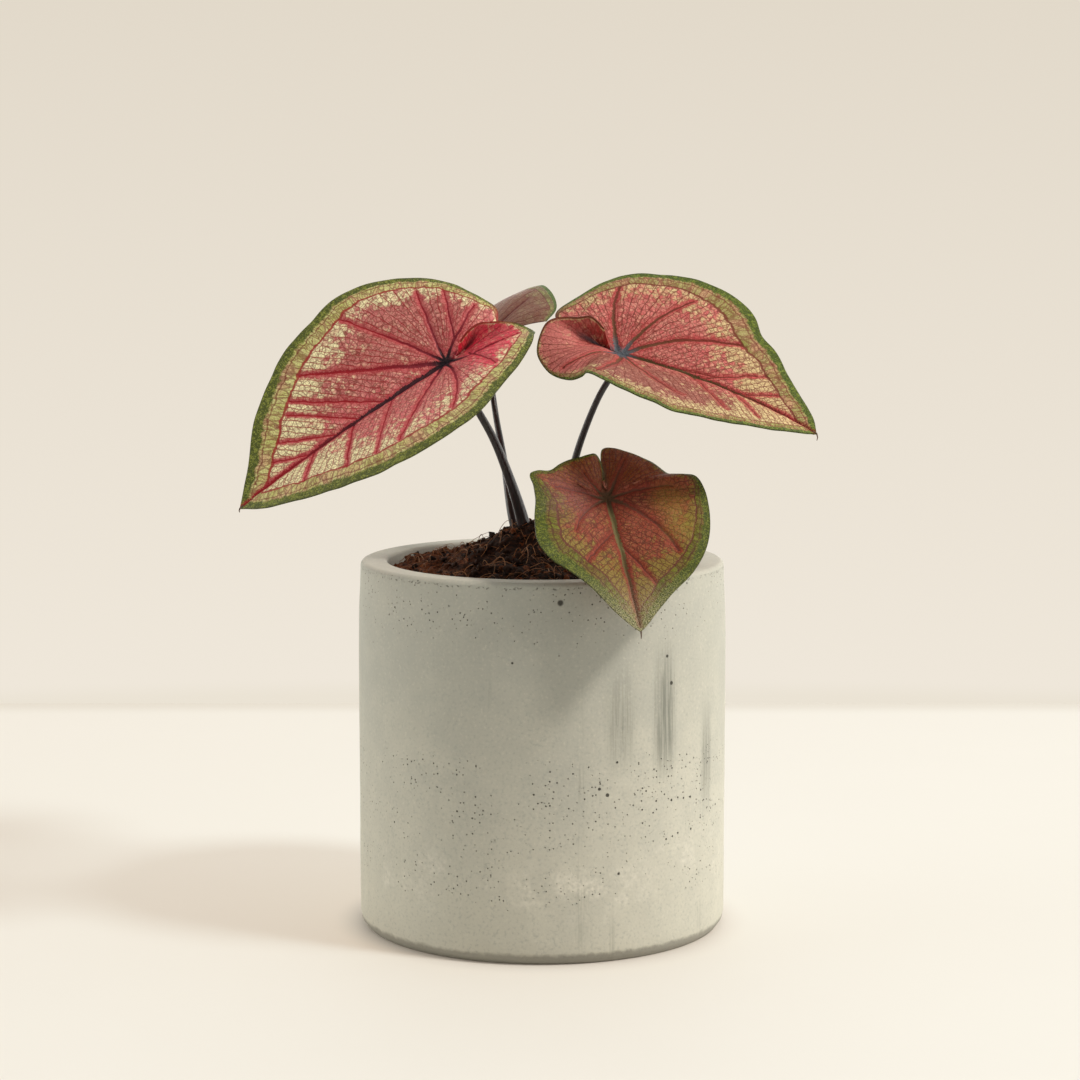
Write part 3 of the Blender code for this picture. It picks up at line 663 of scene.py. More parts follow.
draw = random.Random(CRUMB_SEED)
kinds = []
for kind in range(CRUMB_KINDS):
    select_none()
    bpy.ops.mesh.primitive_ico_sphere_add(subdivisions=2, radius=1.0)
    model = bpy.context.object
    for vertex in model.data.vertices:
        bulge = noise.noise(vertex.co * 1.3 + Vector((kind * 5.0, 0.0, 0.0)))
        bulge += 0.5 * noise.noise(vertex.co * 3.1 + Vector((0.0, kind * 5.0, 0.0)))
        vertex.co *= 1.0 + CRUMB_BULGE * bulge
    kinds.append(model)
crumbs = []
for index in range(CRUMBS):
    turn = draw.uniform(0.0, 2.0 * math.pi)
    size = CRUMB_RADIUS[0] + (CRUMB_RADIUS[1] - CRUMB_RADIUS[0]) * draw.random() ** CRUMB_SMALLNESS
    radius = (BORE_RADIUS - CRUMB_CLEAR - size) * math.sqrt(draw.random())
    x, y = radius * math.cos(turn), radius * math.sin(turn)
    crumb = kinds[index % CRUMB_KINDS].copy()
    crumb.data = crumb.data.copy()
    squash = draw.uniform(*CRUMB_SQUASH)
    crumb.scale = [size * MM * s for s in (1.0, draw.uniform(*CRUMB_NARROW), squash)]
    crumb.rotation_euler = [draw.uniform(0.0, 6.28) for _ in range(3)]
    z = float(soil_height(x, y)) + size * CRUMB_RAISED
    crumb.location = (x * MM, y * MM, z * MM)
    shade = crumb.data.attributes.new("shade", "FLOAT", "POINT")
    shade.data.foreach_set("value", [draw.random()] * len(crumb.data.vertices))
    bpy.context.scene.collection.objects.link(crumb)
    crumbs.append(crumb)
for model in kinds:
    bpy.data.objects.remove(model)
select_none()
for crumb in crumbs:
    crumb.select_set(True)
bpy.context.view_layer.objects.active = crumbs[0]
bpy.ops.object.join()
crumbs = bpy.context.object
crumbs.name = "coir_crumbs"
bpy.ops.object.transform_apply(location=True, rotation=True, scale=True)
crumbs.data.shade_smooth()
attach(crumbs, BODY)
print("crumbs:", CRUMBS, "with", len(crumbs.data.polygons), "faces")

# %% Strands
STRAND_SEED = 41
STRANDS = 520
STRAND_RADIUS = (0.05, 0.16)
STRAND_LENGTH = (3.0, 14.0)
STRAND_STEPS = 9
STRAND_TONES = 3
STRAND_BEND = 0.16
STRAND_RISES = (0.1, 0.2, 0.5, 1.2, 2.6)
STRAND_START_IN, STRAND_CLEAR, STRAND_SUNK = 3.0, 1.2, 0.2

draw = random.Random(STRAND_SEED)
strands = new_stroke("coir_strands", 0)
for index in range(STRANDS):
    turn = draw.uniform(0.0, 2.0 * math.pi)
    radius = (BORE_RADIUS - STRAND_START_IN) * math.sqrt(draw.random())
    x, y = radius * math.cos(turn), radius * math.sin(turn)
    way = draw.uniform(0.0, 2.0 * math.pi)
    bend = draw.gauss(0.0, STRAND_BEND)
    length = draw.uniform(*STRAND_LENGTH)
    thick = draw.uniform(*STRAND_RADIUS)
    rise = draw.choice(STRAND_RISES)
    points = []
    for step in range(STRAND_STEPS + 1):
        share = step / STRAND_STEPS
        inside = min(1.0, (BORE_RADIUS - STRAND_CLEAR) / max(math.hypot(x, y), 1.0))
        x, y = x * inside, y * inside
        lift = rise * math.sin(math.pi * min(1.0, share * draw.uniform(0.9, 1.1)))
        z = float(soil_height(x, y)) + lift - STRAND_SUNK
        points.append((x, y, z, thick * (1.2 - 0.6 * share)))
        x += math.cos(way) * length / STRAND_STEPS
        y += math.sin(way) * length / STRAND_STEPS
        way += bend
    add_line(strands, points, index % STRAND_TONES)
print("strands:", STRANDS)

# %% [markdown]
# ## The colours of coir
#
# Coir is nearly black where it is damp, with rusty crumbs and straw-coloured fibres. The surface
# takes its colour from noise in a few sizes. Each crumb carries one random number, so neighbours
# differ. The strands come in three tones.

# %% Coir finishes
COIR_DARK = tone(26, 16, 10)
COIR_BROWN = tone(60, 34, 18)
COIR_RUST = tone(128, 70, 32)
COIR_DRY = tone(118, 66, 32)
STRAND_COLOURS = {"straw": tone(140, 94, 52), "tan": tone(82, 46, 24), "dark": tone(44, 26, 16)}


def dry_side(finish, at):
    """The drier, redder coir that lies near the rim on the left."""
    x = finish.parts(at, 0)[0]
    return (x + finish.noise(at, 9.0, 3.0) * 14.0).fade(-12.0, -30.0) * 0.60


ground = Finish("damp coir")
at = ground.millimetres()
speck = ground.noise(at, 1.1, 5.0)
skin = ground.layers(
    COIR_DARK,
    (COIR_BROWN, speck.fade(0.42, 0.68)),
    (COIR_RUST, ground.noise(at, 2.6, 4.0).fade(0.58, 0.72) * 0.7),
    (COIR_DRY, dry_side(ground, at) * speck.fade(0.30, 0.60)),
)
relief = ground.noise(at, 0.6, 4.0) * 0.5 + speck * 0.5
ground.paint(Base_Color=skin, Roughness=0.93, Normal=ground.bump(relief, 0.8), Specular_IOR_Level=0.2)
soil.data.materials.append(ground.material)

crumb_skin = Finish("coir crumb")
at = crumb_skin.millimetres()
lot = crumb_skin.node("Attribute", {}, out="Fac", attribute_name="shade")
speck = crumb_skin.noise(at, 0.5, 4.0)
skin = crumb_skin.layers(
    COIR_DARK,
    (COIR_BROWN, lot),
    (COIR_RUST, lot.fade(0.80, 0.95) * 0.7),
    (COIR_DRY, dry_side(crumb_skin, at) * lot.fade(0.1, 0.6)),
    (COIR_DARK, speck.fade(0.55, 0.35) * 0.6),
)
normal = crumb_skin.bump(speck, 0.6)
crumb_skin.paint(Base_Color=skin, Roughness=0.9, Normal=normal, Specular_IOR_Level=0.25)
crumbs.data.materials.clear()
crumbs.data.materials.append(crumb_skin.material)

for name, colour in STRAND_COLOURS.items():
    strand_skin = Finish(name + " strand")
    fleck = strand_skin.noise(strand_skin.millimetres(), 1.5, 3.0)
    skin = strand_skin.mix(colour, COIR_DARK, fleck.fade(0.50, 0.75) * 0.6)
    strand_skin.paint(Base_Color=skin, Roughness=0.7, Normal=strand_skin.bump(fleck, 0.5, 0.2))
    strands.data.materials.append(strand_skin.material)
strands = made_mesh(strands)
strands.data.shade_smooth()
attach(strands, BODY)
print("strands have", len(strands.data.polygons), "faces")

# %% The buried tuber
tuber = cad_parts["tuber"]
corm = Finish("corm bark")
at = corm.millimetres()
rings = (corm.parts(at, 2)[0] * 2.2 + corm.noise(at, 6.0, 3.0) * 3.0).sine()
skin = corm.layers(
    tone(96, 66, 44),
    (tone(58, 38, 26), rings.fade(-0.4, 0.9)),
    (tone(150, 116, 84), corm.noise(at, 1.4, 4.0).fade(0.60, 0.72) * 0.5),
)
corm.paint(Base_Color=skin, Roughness=0.88, Normal=corm.bump(rings * 0.3, 0.6))
for slot in tuber.material_slots:
    slot.material = corm.material
print("the tuber's slots:", len(tuber.material_slots))

# %% [markdown]
# ## The blades laid out
#
# Each blade is arrow-shaped, and its stalk joins it inside the outline, so its veins fan out from
# there. The surface is drawn by spokes from that point to the edge. A spoke runs straight on the
# folded half, then lifts and domes a little. Near the midrib it domes straight up, so that the two
# halves don't lean over the fold. The stations round the edge are the solid's own but for a few at the
# front blade's notch and the left blade's lobe, so the finer surface lies where the solid lies.

# %% Blade stations
# Each blade: where its stalk meets it, the heading of its midrib, its droop and roll and how far each
# half folds up, all in degrees, its length from stalk to tip, the midrib's arch, and its outline. The
# outline's stations run from the notch behind the stalk to the tip. Each has its distance along the
# midrib, its distance out from it on the folded half, its lift above that half, and how much the blade
# domes on the way there.
BLADES = {
    "left": {
        "stalk": (-30, -14, 185),
        "heading": -161, "droop": 33, "roll": -32, "fold": 18, "length": 81.5, "arch": 1.5,
        "left": (
            (-5.8, 2, 5.6, -0.4), (-8.7, 2.3, 7.5, -1.2), (-13, 3, 8.2, -1.5), (-17.5, 4.8, 6.4, -0.5),
            (-22.5, 8.2, 3, 0.5), (-24.8, 12, 0.4, 1.5), (-25.2, 16, -0.2, 1.8), (-22.4, 21.2, 0, 2),
            (-17.5, 25.6, 0, 2), (-10.4, 30.6, 0, 1.5), (-3, 34, 0, 1.5), (7.5, 39.7, 0, 1.5),
            (18.5, 40.5, 0, 1.5), (32, 38.5, 0, 1.5), (43.5, 35, 0, 1.5), (60.5, 24, 0, 1.5),
            (72, 14, 0, 1.5), (78, 7, 0, 1.5),
        ),
        "right": (
            (-21.5, 2.5, -1.5, 0.5), (-24, 6.5, -1, 1.5), (-22.3, 12.5, 0, 2.5), (-16, 26, 0, 2.5),
            (-6.5, 35, 0, 2), (5, 41, 0, 2), (16, 42.6, 0, 2), (26, 40.3, 0, 2), (38, 37.2, 0, 2),
            (48, 31.5, 0, 1.8), (60.3, 22.6, 0, 1.5), (71.5, 10, 0, 1.5), (78, 3.5, 0, 1.5),
        ),
    },
    "right": {
        "stalk": (24.5, -14, 187.8),
        "heading": -20, "droop": 20, "roll": 26, "fold": 20, "length": 69.2, "arch": 2.6,
        "left": (
            (-23, 2.5, -1.5, 0.5), (-26, 6, -1, 1.5), (-23.6, 11.5, 0, 2), (-18.3, 22.5, 0, 2),
            (-12.4, 29.6, 0, 2), (-2.6, 34.8, 0, 2), (10.2, 38.2, 0, 2), (23.5, 37, 0, 2),
            (32, 32.9, 0, 2), (37.7, 26.8, 0, 2), (44.4, 23, 0, 1.8), (51.6, 16.5, 0, 2),
            (58.2, 11, 0, 2.3), (65.5, 5, 0, 2.5),
        ),
        "right": (
            (-5.6, 2.3, 7.6, -0.5), (-7.7, 2.8, 9.1, -1.2), (-10.9, 3, 10.1, -2.4),
            (-13.9, 4.5, 8.6, -3.4), (-17.2, 5.8, 7.6, -1.7), (-21.9, 9.8, 4.9, -0.8), (-23, 12.7, 0, 1),
            (-21.2, 17.5, -6.5, 2.5), (-15, 22, -9.8, 3), (-10.5, 24.5, -9.6, 3), (-5.3, 26.5, -7.6, 2.5),
            (-1.5, 28, -4.6, 2), (0.8, 30.5, -1.2, 1.5), (7, 33.5, 0, 1.5), (14, 35.3, 0, 1.5),
            (25.5, 36.2, 0, 1.5), (31.6, 37, 0, 1.5), (38, 32.9, 0, 1.5), (48.4, 25.2, 0, 2),
            (57, 16.5, 0, 2.3), (64.5, 8, 0, 2.5),
        ),
    },
    "front": {
        "stalk": (20, -40, 144.5),
        "heading": -73, "droop": 48, "roll": -2, "fold": 12, "length": 50.3, "arch": 0.6,
        "left": (
            (-8, 0.5, 0, 0.4), (-13, 0.8, 0, 0.6), (-18.2, 2.6, 0, 0.8), (-18, 6.4, 0, 1.2),
            (-15.5, 10.8, 0, 1.5), (-11.3, 16.5, 0, 1.5), (-5.8, 21.5, -0.4, 1.5), (-4.6, 24.5, 0.4, 1.5),
            (-2.8, 28.6, 1.2, 1.2), (2.5, 30.8, 0.4, 1), (14.5, 29.9, 0, 1), (23.7, 26.6, 0, 1),
            (31.8, 20.6, 0, 0.8), (38, 13, 0, 0.7), (43, 7.6, 0, 0.6), (48.3, 2.4, 0, 0.6),
        ),
        "right": (
            (-5, 0.5, 2.2, 0.2), (-8.2, 0.8, 4.4, 0.3), (-11.4, 3, 6.4, 0.4), (-10.8, 5.8, 6.5, 0.6),
            (-10.4, 8.7, 5, 1), (-10, 12, 3.6, 1.2), (-8.6, 15.5, 2.5, 1.2), (-6.6, 19, 1.4, 1.2),
            (-6.4, 23, 0.9, 1), (-4.6, 26.4, 0.4, 1), (-0.6, 26, 0.6, 1), (5, 26.6, 1, 1),
            (12.5, 28.2, 0, 1), (20.5, 28.9, 0, 1), (26.3, 25.7, 0, 0.8), (31.3, 18.8, 0, 0.6),
            (36.9, 12.6, 0, 0.6), (43.4, 7.7, 0, 0.6), (48.6, 2.6, 0, 0.6),
        ),
    },
    "back": {
        "stalk": (-20.5, 38, 189),
        "heading": 160, "droop": 12, "roll": -25, "fold": 15, "length": 62, "arch": 2.5,
        "left": (
            (-20.5, 3.2, 0, 1), (-22.5, 9, 0, 2), (-19.5, 17, 0, 2), (-12, 24.5, 0, 2), (-3, 29.5, 0, 2),
            (8, 32, 0, 2), (20, 31, 0, 2), (32, 26.5, 0, 1.8), (43, 19, 0, 2.1), (53, 9.8, 0, 2.3),
            (59, 3.6, 0, 2.5),
        ),
        "right": (
            (-23.5, 3.2, 0, 1), (-26.2, 8.6, 0, 2), (-24.2, 16, 0, 2.5), (-19.5, 22.5, 0, 3),
            (-11, 27, -4, 3.5), (-2, 30.5, -10, 4), (10, 32, -12, 4), (23, 30.5, -10, 3.5),
            (34, 25.5, -7, 2.5), (44, 18.5, -4, 2.4), (53, 9.8, -1.5, 2.4), (59, 3.6, 0, 2.5),
        ),
    },
}

# Each stalk: points from the tuber's crown up to just under its blade, each with the radius there.
# The last point of each is worked out from its blade.
STALKS = {
    "left": (
        (-4, -1, 115.3, 2.2), (-4.5, -0.8, 124, 2.2), (-6.3, -1, 132.7, 2.05), (-10.4, -3.7, 146.1, 1.65),
        (-15.5, -6.6, 159.3, 1.35), (-21, -9.2, 169.5, 1.25),
    ),
    "back": (
        (-5, 5, 115.3, 1.7), (-7, 5.2, 124, 1.65), (-9.6, 6.2, 132, 1.5), (-12.6, 13, 151, 1.2),
        (-15.1, 20, 163.7, 1.05), (-17, 28, 175, 1),
    ),
    "right": (
        (2.5, 4, 115.3, 1.8), (3.2, 3.9, 124, 1.75), (4.6, 3, 132, 1.6), (8.8, -1.1, 145.8, 1.3),
        (12.6, -5, 159.2, 1.15), (18.2, -9.4, 173.5, 1.05),
    ),
    "front": (
        (3, -4.5, 115.3, 1.5), (4.5, -6, 124, 1.45), (7, -9, 132, 1.3), (11.5, -17, 140, 1.1),
        (15.5, -27, 143, 1),
    ),
}
print("stations for", len(BLADES), "blades and", len(STALKS), "stalks")

# %% Axes and edge of a blade
SPOKES = 150
NOTCH_ANGLE = math.radians(175.0)
SPOKE_TURN = math.radians(0.9) * 26 / SPOKES


def blade_axes(blade):
    """Unit vectors along the midrib to the tip, across to the blade's left, and up off its face."""
    heading = math.radians(blade["heading"])
    droop = math.radians(blade["droop"])
    roll = math.radians(blade["roll"])
    ahead = np.array([math.cos(heading), math.sin(heading), 0.0])
    level = np.array([-math.sin(heading), math.cos(heading), 0.0])
    along = ahead * math.cos(droop) - np.array([0.0, 0.0, math.sin(droop)])
    upright = np.cross(along, level)
    across = level * math.cos(roll) + upright * math.sin(roll)
    normal = upright * math.cos(roll) - level * math.sin(roll)
    return np.array([along, across, normal])


def margin(blade):
    """The edge from the notch round the tip and back: along, across, rise, lift and dome."""
    fold = math.radians(blade["fold"])
    tip = (blade["length"], 0.0, 0.0, blade["arch"])
    halves = []
    for side, sign in (("left", 1.0), ("right", -1.0)):
        path = smooth_path([*blade[side], tip], 0.5)
        even = np.linspace(0.0, len(path) - 1.0, SPOKES + 1)
        along, out, lift, dome = [np.interp(even, np.arange(len(path)), column) for column in path.T]
        across, rise = sign * out * math.cos(fold), out * math.sin(fold)
        halves.append(np.stack([along, across, rise, lift, dome], axis=1))
    return np.vstack([halves[0], halves[1][-2::-1]])


def from_notch(spokes):
    """How many spokes each spoke is from the notch, whichever way is shorter."""
    count = np.arange(spokes)
    return np.minimum(count, count[::-1])


def hub_angles(edge):
    """The angle that each spoke leaves the stalk by, kept in order round it, and its side."""
    angles = np.abs(np.arctan2(edge[:, 1], edge[:, 0]))
    for order in (range(SPOKES - 1, -1, -1), range(SPOKES + 1, len(edge))):
        before = SPOKES
        for i in order:
            angles[i] = max(angles[i], angles[before] + SPOKE_TURN)
            before = i
    angles = np.minimum(angles, NOTCH_ANGLE - SPOKE_TURN * from_notch(len(edge)))
    return angles, np.sign(SPOKES - np.arange(len(edge)))


def developed(rim):
    """The edge laid flat: each spoke keeps its length and its angle to the spoke before it."""
    length = np.linalg.norm(rim, axis=1)
    way = rim / length[:, None]
    between_spokes = np.arccos(np.clip((way[1:] * way[:-1]).sum(1), -1.0, 1.0))
    turned = np.concatenate([[0.0], np.cumsum(between_spokes)])
    turned = turned[SPOKES] - turned
    return length, np.stack([np.cos(turned), np.sin(turned)], axis=1), turned


left_edge = margin(BLADES["left"])[:, :3]
print("the left blade's edge is", round(np.linalg.norm(np.diff(left_edge, axis=0), axis=1).sum()), "mm")

# %% [markdown]
# ## Veins
#
# A caladium's blade has a midrib, a fan of strong veins from the stalk, side veins off the midrib,
# and a collecting vein that follows the edge a few millimetres in. The strong ones differ from blade
# to blade, so they are listed as they lie on the flattened blade: start, end, how far they bow to
# the left of their chord, and the half width at both ends, in millimetres.

# %% Vein lists
VEINS = {
    "left": (
        (0, 0, 80.5, 0, 0, 0.95, 0.22), (1.5, -0.5, 40, -26, 0.6, 0.60, 0.25),
        (1, -1.5, 18, -34.5, 0, 0.45, 0.20), (0.5, -1.5, -7, -27, 0, 0.40, 0.20),
        (-0.5, -1.5, -18.5, -10.5, 0, 0.45, 0.20), (-6, -4, -14, -21, 0, 0.30, 0.15),
        (24, -0.3, 48, -20.5, 0, 0.35, 0.20), (34, -0.3, 51, -17, 0, 0.30, 0.18),
        (43, -0.3, 59.5, -11, 0, 0.30, 0.15), (54, -0.3, 66, -7, 0, 0.25, 0.15),
        (3, 1, 32, 27, 0, 0.55, 0.20), (1, 1.5, 13, 30, 2.7, 0.45, 0.20),
        (22, 0.5, 40, 25, 0, 0.25, 0.15), (37, 0.5, 49.5, 21, 0, 0.35, 0.20),
        (52, 0.3, 62, 12.5, 0, 0.30, 0.15), (-1, 0.8, -21, 13.5, -3.3, 0.60, 0.25),
        (-6, 5, -8, 22, 0, 0.30, 0.15),
    ),
    "right": (
        (0, 0, 68.5, 0, 0, 0.80, 0.20), (-1, 1, -11.5, 23, 1.7, 0.58, 0.28),
        (1, 1, 12.5, 28.5, 1.8, 0.64, 0.28), (1.5, 0.5, 35, 19.5, 2.9, 0.68, 0.30),
        (18, 0, 32, 3.3, 0, 0.25, 0.12), (29, 0.3, 46, 12, 0.6, 0.28, 0.15),
        (43, 0.3, 55, 8, 0.4, 0.22, 0.12), (2, -1, 30, -22.3, -3.2, 0.84, 0.44),
        (1, -1.5, 3.3, -30, 2.6, 0.74, 0.40), (-1, -1, -13, -18, 1.6, 0.50, 0.20),
        (26, -0.3, 44, -18, -0.8, 0.30, 0.15), (40, -0.3, 53, -12, -0.5, 0.25, 0.12),
    ),
    "front": (
        (0, 0, 48.5, 0, 0, 0.85, 0.25), (1, 1, 23.7, 17.7, 2.5, 0.45, 0.20),
        (0.5, 1, -0.2, 20.9, 0.7, 0.40, 0.20), (19.5, 0.5, 34, 8.3, 0.3, 0.25, 0.15),
        (-0.5, 1, -12, 8, 0, 0.40, 0.18), (1, -1, -0.6, -19, 0, 0.38, 0.18),
        (1.5, -0.8, 15.6, -14.9, -1.8, 0.42, 0.18), (13.6, 0, 26.3, -13.2, -0.4, 0.28, 0.15),
        (-0.5, -1, -7, -8, 0, 0.35, 0.18),
    ),
    "back": (
        (0, 0, 61, 0, 0, 0.75, 0.20), (1, 0.5, 26, 23, 1.5, 0.48, 0.20), (1, 1, 4, 26, 0.8, 0.42, 0.20),
        (-0.5, 1, -16, 12, 1, 0.42, 0.20), (17, 0.3, 37, 17, 0.6, 0.30, 0.15),
        (30, 0.3, 46, 11, 0.4, 0.26, 0.15), (1, -0.5, 25, -23, -1.5, 0.48, 0.20),
        (1, -1, 3, -26, -0.8, 0.42, 0.20), (-0.5, -1, -17, -13, -1, 0.42, 0.20),
        (19, -0.3, 38, -17, -0.6, 0.30, 0.15), (32, -0.3, 47, -11, -0.4, 0.26, 0.15),
    ),
}
# How far in from the edge the collecting vein runs: pairs of a share of the way from the notch to the
# tip and a width, for each half. It hugs the edge where the blade rolls up into a collar.
COLLECTOR = {
    "left": (
        ((0, 0.5), (0.12, 0.6), (0.19, 4.5), (0.4, 8.5), (0.6, 10), (0.8, 9.5), (1, 6)),
        ((0, 0.8), (0.07, 3), (0.2, 4.5), (0.4, 6.5), (0.6, 8.7), (0.8, 9.3), (1, 6)),
    ),
    "right": (
        ((0, 0.8), (0.08, 3), (0.2, 5), (0.4, 6.5), (0.6, 9.3), (0.8, 7), (1, 5.5)),
        ((0, 0.5), (0.18, 0.6), (0.30, 1), (0.38, 3), (0.6, 3.6), (0.8, 3.2), (1, 3.5)),
    ),
    "front": (
        ((0, 0.5), (0.17, 0.7), (0.38, 1.7), (0.47, 4), (0.6, 5), (0.8, 6), (1, 4)),
        ((0, 0.5), (0.12, 0.7), (0.34, 1.8), (0.43, 7), (0.6, 8.5), (0.8, 7), (1, 4)),
    ),
    "back": (
        ((0, 0.8), (0.08, 3), (0.2, 4.5), (0.4, 5.5), (0.6, 6), (0.8, 6), (1, 4.5)),
        ((0, 0.8), (0.08, 3), (0.2, 4.5), (0.4, 5.5), (0.6, 6), (0.8, 6), (1, 4.5)),
    ),
}
print("veins:", {side: len(veins) for side, veins in VEINS.items()})


# %% Distances on the flattened blade
# Points whose distances are worked out together.
AT_ONCE = 2000


def vein_reach(flat, vein):
    """The distance of flat points from one vein, in half widths of the vein there."""
    x0, y0, x1, y1, bow, width0, width1 = vein
    length = math.hypot(x1 - x0, y1 - y0)
    cx, cy = (x1 - x0) / length, (y1 - y0) / length
    share = ((flat[..., 0] - x0) * cx + (flat[..., 1] - y0) * cy) / length
    inside = np.clip(share, 0.0, 1.0)
    side = (flat[..., 1] - y0) * cx - (flat[..., 0] - x0) * cy - 4.0 * bow * inside * (1.0 - inside)
    past = np.abs(share - inside) * length
    return np.hypot(side, past) / (width0 + (width1 - width0) * inside)


def edge_band(local, side):
    """For points: the nearest place along the edge, how far in they lie, and that in collector widths."""
    rim = local[:, -1]
    steps = np.concatenate([[0.0], np.cumsum(np.linalg.norm(np.diff(rim, axis=0), axis=1))])
    share = np.linspace(0.0, 1.0, SPOKES + 1)
    left, right = (np.interp(share, *np.array(half).T) for half in COLLECTOR[side])
    width = np.concatenate([left, right[-2::-1]])
    points = local.reshape(-1, 3)
    start, run = rim[:-1], np.diff(rim, axis=0)
    along, depth, inward = (np.empty(len(points)) for _ in range(3))
    for first in range(0, len(points), AT_ONCE):
        part = slice(first, first + AT_ONCE)
        chunk = points[part, None]
        t = ((chunk - start) * run).sum(2) / np.maximum((run * run).sum(1), 1e-9)
        t = np.clip(t, 0.0, 1.0)
        away = np.linalg.norm(chunk - start - run * t[..., None], axis=2)
        nearest = away.argmin(1)
        rows = np.arange(len(nearest))
        t = t[rows, nearest]
        along[part] = steps[nearest] + t * np.diff(steps)[nearest]
        width_here = width[nearest] * (1.0 - t) + width[nearest + 1] * t
        depth[part] = away[rows, nearest]
        inward[part] = away[rows, nearest] / width_here
    return [measure.reshape(local.shape[:-1]) for measure in (along, depth, inward)]


away = vein_reach(np.array([40.0, 20.0]), VEINS["left"][0])
print("a point 20 mm off the left midrib is", round(float(away)), "of its half widths away")

# %% The blade's surface
HUB_RADII = (0.0, 0.8, 1.5)
HUB_EDGE = 2.3
RINGS = 74
RING_POWER, LIFT_POWER = 0.9, 1.3
FOLD_SOFT = 6.0
# The depth or height of the low relief, and how far it reaches or how wide it is.
GROOVE, GROOVE_REACH = 0.30, 0.7
PILLOW, PILLOW_REACH = 0.35, 3.5
RIPPLE, RIPPLE_SIZE = 0.30, 6.0
CALM_EDGE = 0.8
UP = np.array([0.0, 0.0, 1.0])


def blade_surface(side):
    """Points of the upper face by spoke and ring, the same laid flat, and each spoke's flat angle."""
    spec = BLADES[side]
    edge = margin(spec)
    angles, hand = hub_angles(edge)
    rise = np.abs(edge[:, 2]) / np.maximum(np.linalg.norm(edge[:, :2], axis=1), 1.0)
    closed = angles * math.pi / NOTCH_ANGLE
    rim = edge[:, :3] + np.outer(edge[:, 3], UP)
    length, flat_way, turned = developed(rim)
    rows, flats = [], []
    for radius in HUB_RADII:
        spoke = np.stack([np.cos(closed), hand * np.sin(closed)], axis=1)
        rows.append(np.column_stack([spoke, rise]) * radius)
        flats.append(flat_way * radius)
    open_spoke = np.stack([np.cos(angles), hand * np.sin(angles)], axis=1)
    hub = np.column_stack([open_spoke, rise]) * HUB_EDGE
    facing = np.cross(np.gradient(rim, axis=0), rim)
    facing /= np.linalg.norm(facing, axis=1, keepdims=True)
    for share in np.linspace(0.0, 1.0, RINGS) ** RING_POWER:
        row = hub * (1.0 - share) + edge[:, :3] * share
        row[:, 2] += edge[:, 3] * share**LIFT_POWER
        lean = np.clip(np.abs(row[:, 1:2]) / FOLD_SOFT, 0.0, 1.0)
        lean = lean**2 * (3.0 - 2.0 * lean)
        push = facing * lean + UP * (1.0 - lean)
        rows.append(row + push * (edge[:, 4] * 4.0 * share * (1.0 - share))[:, None])
        flats.append(flat_way * (HUB_EDGE * (1.0 - share) + length * share)[:, None])
    return np.stack(rows, axis=1), np.stack(flats, axis=1), turned


def face_normals(local):
    """The unit normal at each point of the surface, from its neighbours. It is level in the hub."""
    normals = np.cross(np.gradient(local, axis=0), np.gradient(local, axis=1))
    normals /= np.maximum(np.linalg.norm(normals, axis=2, keepdims=True), 1e-9)
    reach = np.linalg.norm(local[:, :, :2], axis=2, keepdims=True)
    level = np.clip(1.6 - reach / 3.0, 0.0, 1.0)
    normals = normals * (1.0 - level) + UP * level
    return normals / np.linalg.norm(normals, axis=2, keepdims=True)


def relief(side, flat, inward):
    """How far the surface rises between its veins and sinks at them, and ripples near its edge."""
    reach = np.min([vein_reach(flat, vein) * vein[5] for vein in VEINS[side]], axis=0)
    groove = np.exp(-((reach / GROOVE_REACH) ** 2))
    swell = 1.0 - np.exp(-((reach / PILLOW_REACH) ** 2))
    fade = np.clip(inward / CALM_EDGE, 0.0, 1.0)
    places = flat.reshape(-1, 2) / RIPPLE_SIZE
    ripple = np.array([noise.noise(Vector((x, y, 3.0))) for x, y in places]).reshape(reach.shape)
    return PILLOW * swell * fade - GROOVE * groove + RIPPLE * ripple


print("each blade has", (2 * SPOKES + 1) * (RINGS + len(HUB_RADII)), "points")

# %% Build the blades
BLADE_THICK, HUB_THICK = 0.45, 1.3
# How much thicker the wall gets, as a share of the hub's, and how far from a vein and from the hub.
RIB_MORE, RIB_REACH = 0.45, 2.2
HUB_MORE, HUB_REACH = 0.8, 2.6
WELD = 0.003
SMOOTH_UP_TO = math.radians(50.0)
# The blade's maps are kept small, in these units, because they are texture coordinates.
MAP_UNIT, ZONE_UNIT = 100.0, 10.0
# Two blades roll up beside the notch. Their collars begin at this angle from the midrib.
COLLARED = ("left", "right")
COLLAR_FROM, COLLAR_SOFT = math.radians(158.0), math.radians(12.0)


